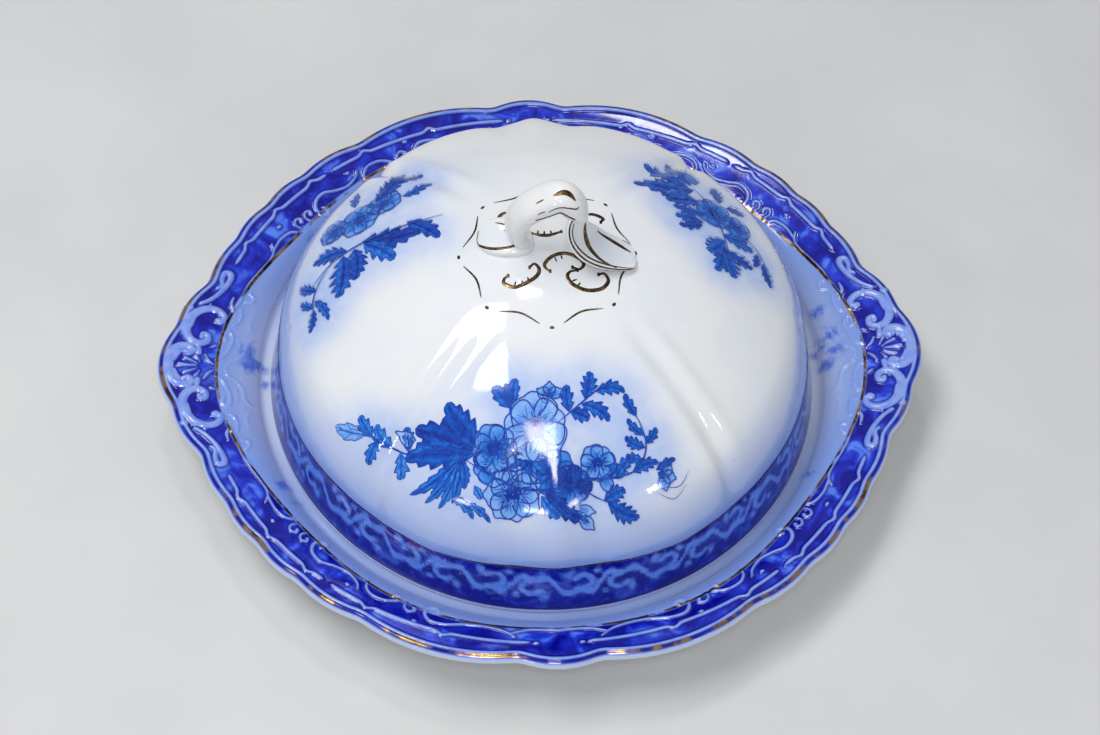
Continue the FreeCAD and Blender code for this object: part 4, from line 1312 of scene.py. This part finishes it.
def cover_material():
    shader = Shader("cover_glaze_material", 0.07)
    band = shader.layer("band")
    streak = shader.noise(5, 4, 0.6)
    body = shader.mix(shader.step(band, -20.0, -1.0, 0.0, 0.95), glaze_body(shader), SKIRT_BLUE)
    near = shader.plus(band, shader.times(streak, 3.0))
    body = shader.mix(shader.step(near, -2.4, 1.6, 0.0, 0.9), body, FLOW_BLUE)
    soft = shader.times(shader.layer("haze"), shader.step(streak, 0.25, 0.7, 0.6, 0.95))
    body = shader.mix(soft, body, HAZE_BLUE)
    blue = shader.mix(0.55, cobalt(shader, 6.0), DEEP)
    frayed = shader.times(shader.maths("SUBTRACT", shader.noise(2.4, 3, 0.6), 0.5), 1.5)
    glow = shader.plus(shader.layer("glow"), frayed)
    blue = shader.mix(shader.step(glow, 0.05, 0.95), blue, SCROLL_BLUE)
    colour = shader.mix(shader.step(band, -0.1, 0.5), body, blue)
    # The pale foot, and the dark line just above it.
    foot = shader.layer("foot")
    colour = shader.mix(shader.step(foot, 0.5, 1.1, 1.0, 0.0), colour, FOOT_BLUE)
    colour = shader.mix(shader.line_at(foot, 1.5, 0.15, 0.4, 0.9), colour, DARK)
    return shader.finish(colour, Roughness=shader.step(shader.noise(20), 0.3, 0.7, 0.05, 0.1))


def handle_material():
    shader = Shader("handle_glaze_material", 0.08)
    # Painted shade: the hollow face of each curled end is tinted a darker, cooler white, most where
    # the channel is deepest.
    hollow = shader.step(shader.layer("hollow"), 0.1, 0.6, 0.0, 0.5)
    colour = shader.mix(hollow, glaze_body(shader, (0.80, 0.80, 0.79)), COOL_WHITE)
    return shader.finish(colour, Roughness=shader.step(shader.noise(8), 0.3, 0.7, 0.06, 0.14))


def drainer_material():
    shader = Shader("drainer_glaze_material", 0.1)
    wear = shader.step(shader.noise(6, 5, 0.7), 0.55, 0.8, 0.0, 0.25)
    colour = shader.mix(wear, glaze_body(shader), (0.62, 0.60, 0.55))
    return shader.finish(colour, Roughness=shader.step(shader.noise(5), 0.3, 0.7, 0.08, 0.2))


def print_material():
    """The transfer print: pale petals to dark leaves by tone, uneven as the ink was."""
    shader = Shader("cobalt_print_material", 0.1)
    uneven = shader.times(shader.maths("SUBTRACT", shader.noise(2.2, 4, 0.6), 0.5), 0.5)
    tone = shader.plus(shader.layer("tone"), uneven)
    colour = shader.ramp(tone, [(0.0, (0.42, 0.60, 0.92)), (0.3, (0.17, 0.39, 0.86)),
                                (0.62, (0.014, 0.19, 0.72)), (0.82, (0.002, 0.08, 0.50)),
                                (1.0, (0.001, 0.024, 0.30))])
    return shader.finish(colour)


def line_material():
    shader = Shader("print_line_material", 0.1)
    colour = shader.ramp(shader.noise(1.6, 3), [(0.35, (0.005, 0.025, 0.28)),
                                                (0.65, (0.014, 0.09, 0.52))])
    return shader.finish(colour, wavy=False)


def gold_material():
    """Old gilding: dark where it looks away from the light, brown where it is rubbed."""
    shader = Shader("gilding_material", 0.3, metallic=1.0)
    colour = shader.ramp(shader.noise(1.8, 4, 0.65), [(0.42, (0.050, 0.034, 0.022)),
                                                      (0.58, (0.17, 0.105, 0.045)),
                                                      (0.74, (0.55, 0.33, 0.12))])
    return shader.finish(colour, wavy=False,
                         Roughness=shader.step(shader.noise(1.2), 0.3, 0.7, 0.22, 0.5))


def floor_material():
    shader = Shader("floor_material", 0.6)
    colour = shader.mix(shader.step(shader.noise(60, 3), 0.3, 0.7), (0.62, 0.62, 0.62),
                        (0.66, 0.66, 0.655))
    return shader.finish(colour, wavy=False)


# ---------------------------------------------------------------- camera, floor and light


def place_camera():
    """The camera where the photograph's was: 5 degrees to the left, 56 up, tilted 3."""
    azimuth, elevation, roll = (math.radians(a) for a in (-5.34, 55.6, 2.89))
    back = Vector((math.sin(azimuth) * math.cos(elevation),
                   -math.cos(azimuth) * math.cos(elevation), math.sin(elevation)))
    level = Vector((math.cos(azimuth), math.sin(azimuth), 0))
    upright = back.cross(level)
    right = level * math.cos(roll) + upright * math.sin(roll)
    up = upright * math.cos(roll) - level * math.sin(roll)
    target_height, distance, aside, below = 30, 564.7, 1.6, 8.4
    place = Vector((0, 0, target_height)) + back * distance + right * aside - up * below
    data = bpy.data.cameras.new("camera")
    data.sensor_width = 36.0
    data.lens = 72.45
    camera = bpy.data.objects.new("camera", data)
    bpy.context.scene.collection.objects.link(camera)
    turn = Matrix((right, up, back)).transposed().to_4x4()
    camera.matrix_world = Matrix.Translation(place * MM) @ turn
    bpy.context.scene.camera = camera


def area_light(name, place, target_height, size, power):
    """A rectangular light, its place and size in metres, that looks at a height on the axis."""
    data = bpy.data.lights.new(name, "AREA")
    data.shape = "RECTANGLE"
    data.size, data.size_y = size
    data.energy = power
    light = bpy.data.objects.new(name, data)
    bpy.context.scene.collection.objects.link(light)
    aim = (Vector((0, 0, target_height)) - Vector(place)).to_track_quat("-Z", "Y").to_matrix().to_4x4()
    light.matrix_world = Matrix.Translation(Vector(place)) @ aim


def light_studio():
    """A large softbox overhead, small ones over the back and by the camera, two low lamps."""
    world = bpy.data.worlds.new("studio")
    bpy.context.scene.world = world
    world.use_nodes = True
    background = world.node_tree.nodes["Background"]
    background.inputs["Color"].default_value = (0.92, 0.95, 1.0, 1)
    background.inputs["Strength"].default_value = 0.38
    area_light("softbox", (-0.34, 0.02, 0.95), 0.03, (0.52, 0.30), 4.3)
    area_light("top_back", (-0.055, 0.34, 0.93), 0.03, (0.11, 0.11), 0.75)
    area_light("camera_side", (-0.03, -0.40, 0.66), 0.04, (0.13, 0.13), 1.0)
    area_light("lamp_left", (-0.36, -0.62, 0.40), 0.04, (0.10, 0.06), 0.4)
    area_light("lamp_right", (0.44, -0.52, 0.44), 0.04, (0.10, 0.06), 0.4)


def make_floor():
    reach = 2500
    corners = [(-reach, -reach, 0), (reach, -reach, 0), (reach, reach, 0), (-reach, reach, 0)]
    floor = make_mesh("floor", corners, [(0, 1, 2, 3)])
    floor.location.z = -0.2 * MM
    floor.data.materials.append(floor_material())


# ---------------------------------------------------------------- putting it together


def finish_piece(piece, material, body):
    piece.data.materials.append(material)
    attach(piece, body)


def build():
    fills, lines = Print(FILL_LIFT), Print(LINE_LIFT)
    sprays = [Spray(270, fills, lines, 0.24), Spray(153, fills, lines, 0.6, out=2.5),
              Spray(27, fills, lines, 0.45, out=2.5)]
    draw_front(sprays[0])
    draw_left(sprays[1])
    draw_right(sprays[2])

    dish = make_dish()
    finish_piece(dish, dish_material(), "dish")
    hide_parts("dish")

    cover = make_cover(sprays)
    finish_piece(cover, cover_material(), "cover")
    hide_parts("cover_dome")

    finish_piece(fills.make("spray_fills"), print_material(), "cover")
    finish_piece(lines.make("spray_lines"), line_material(), "cover")

    gold = gold_material()
    finish_piece(band_line(), gold, "cover")
    finish_piece(gild_crown(), gold, "cover")

    handle, handle_gold = make_handle()
    for piece in handle_gold:
        finish_piece(piece, gold, "cover")
    glaze = handle_material()
    for piece in handle.values():
        finish_piece(piece, glaze, "cover")
    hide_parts("handle_loop")
    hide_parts("handle_leaf_left")
    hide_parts("handle_leaf_right")

    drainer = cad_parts["drainer"]
    drainer.data.materials.clear()
    drainer.data.materials.append(drainer_material())


bpy.context.scene.view_settings.view_transform = "Standard"
place_camera()
make_floor()
light_studio()
build()
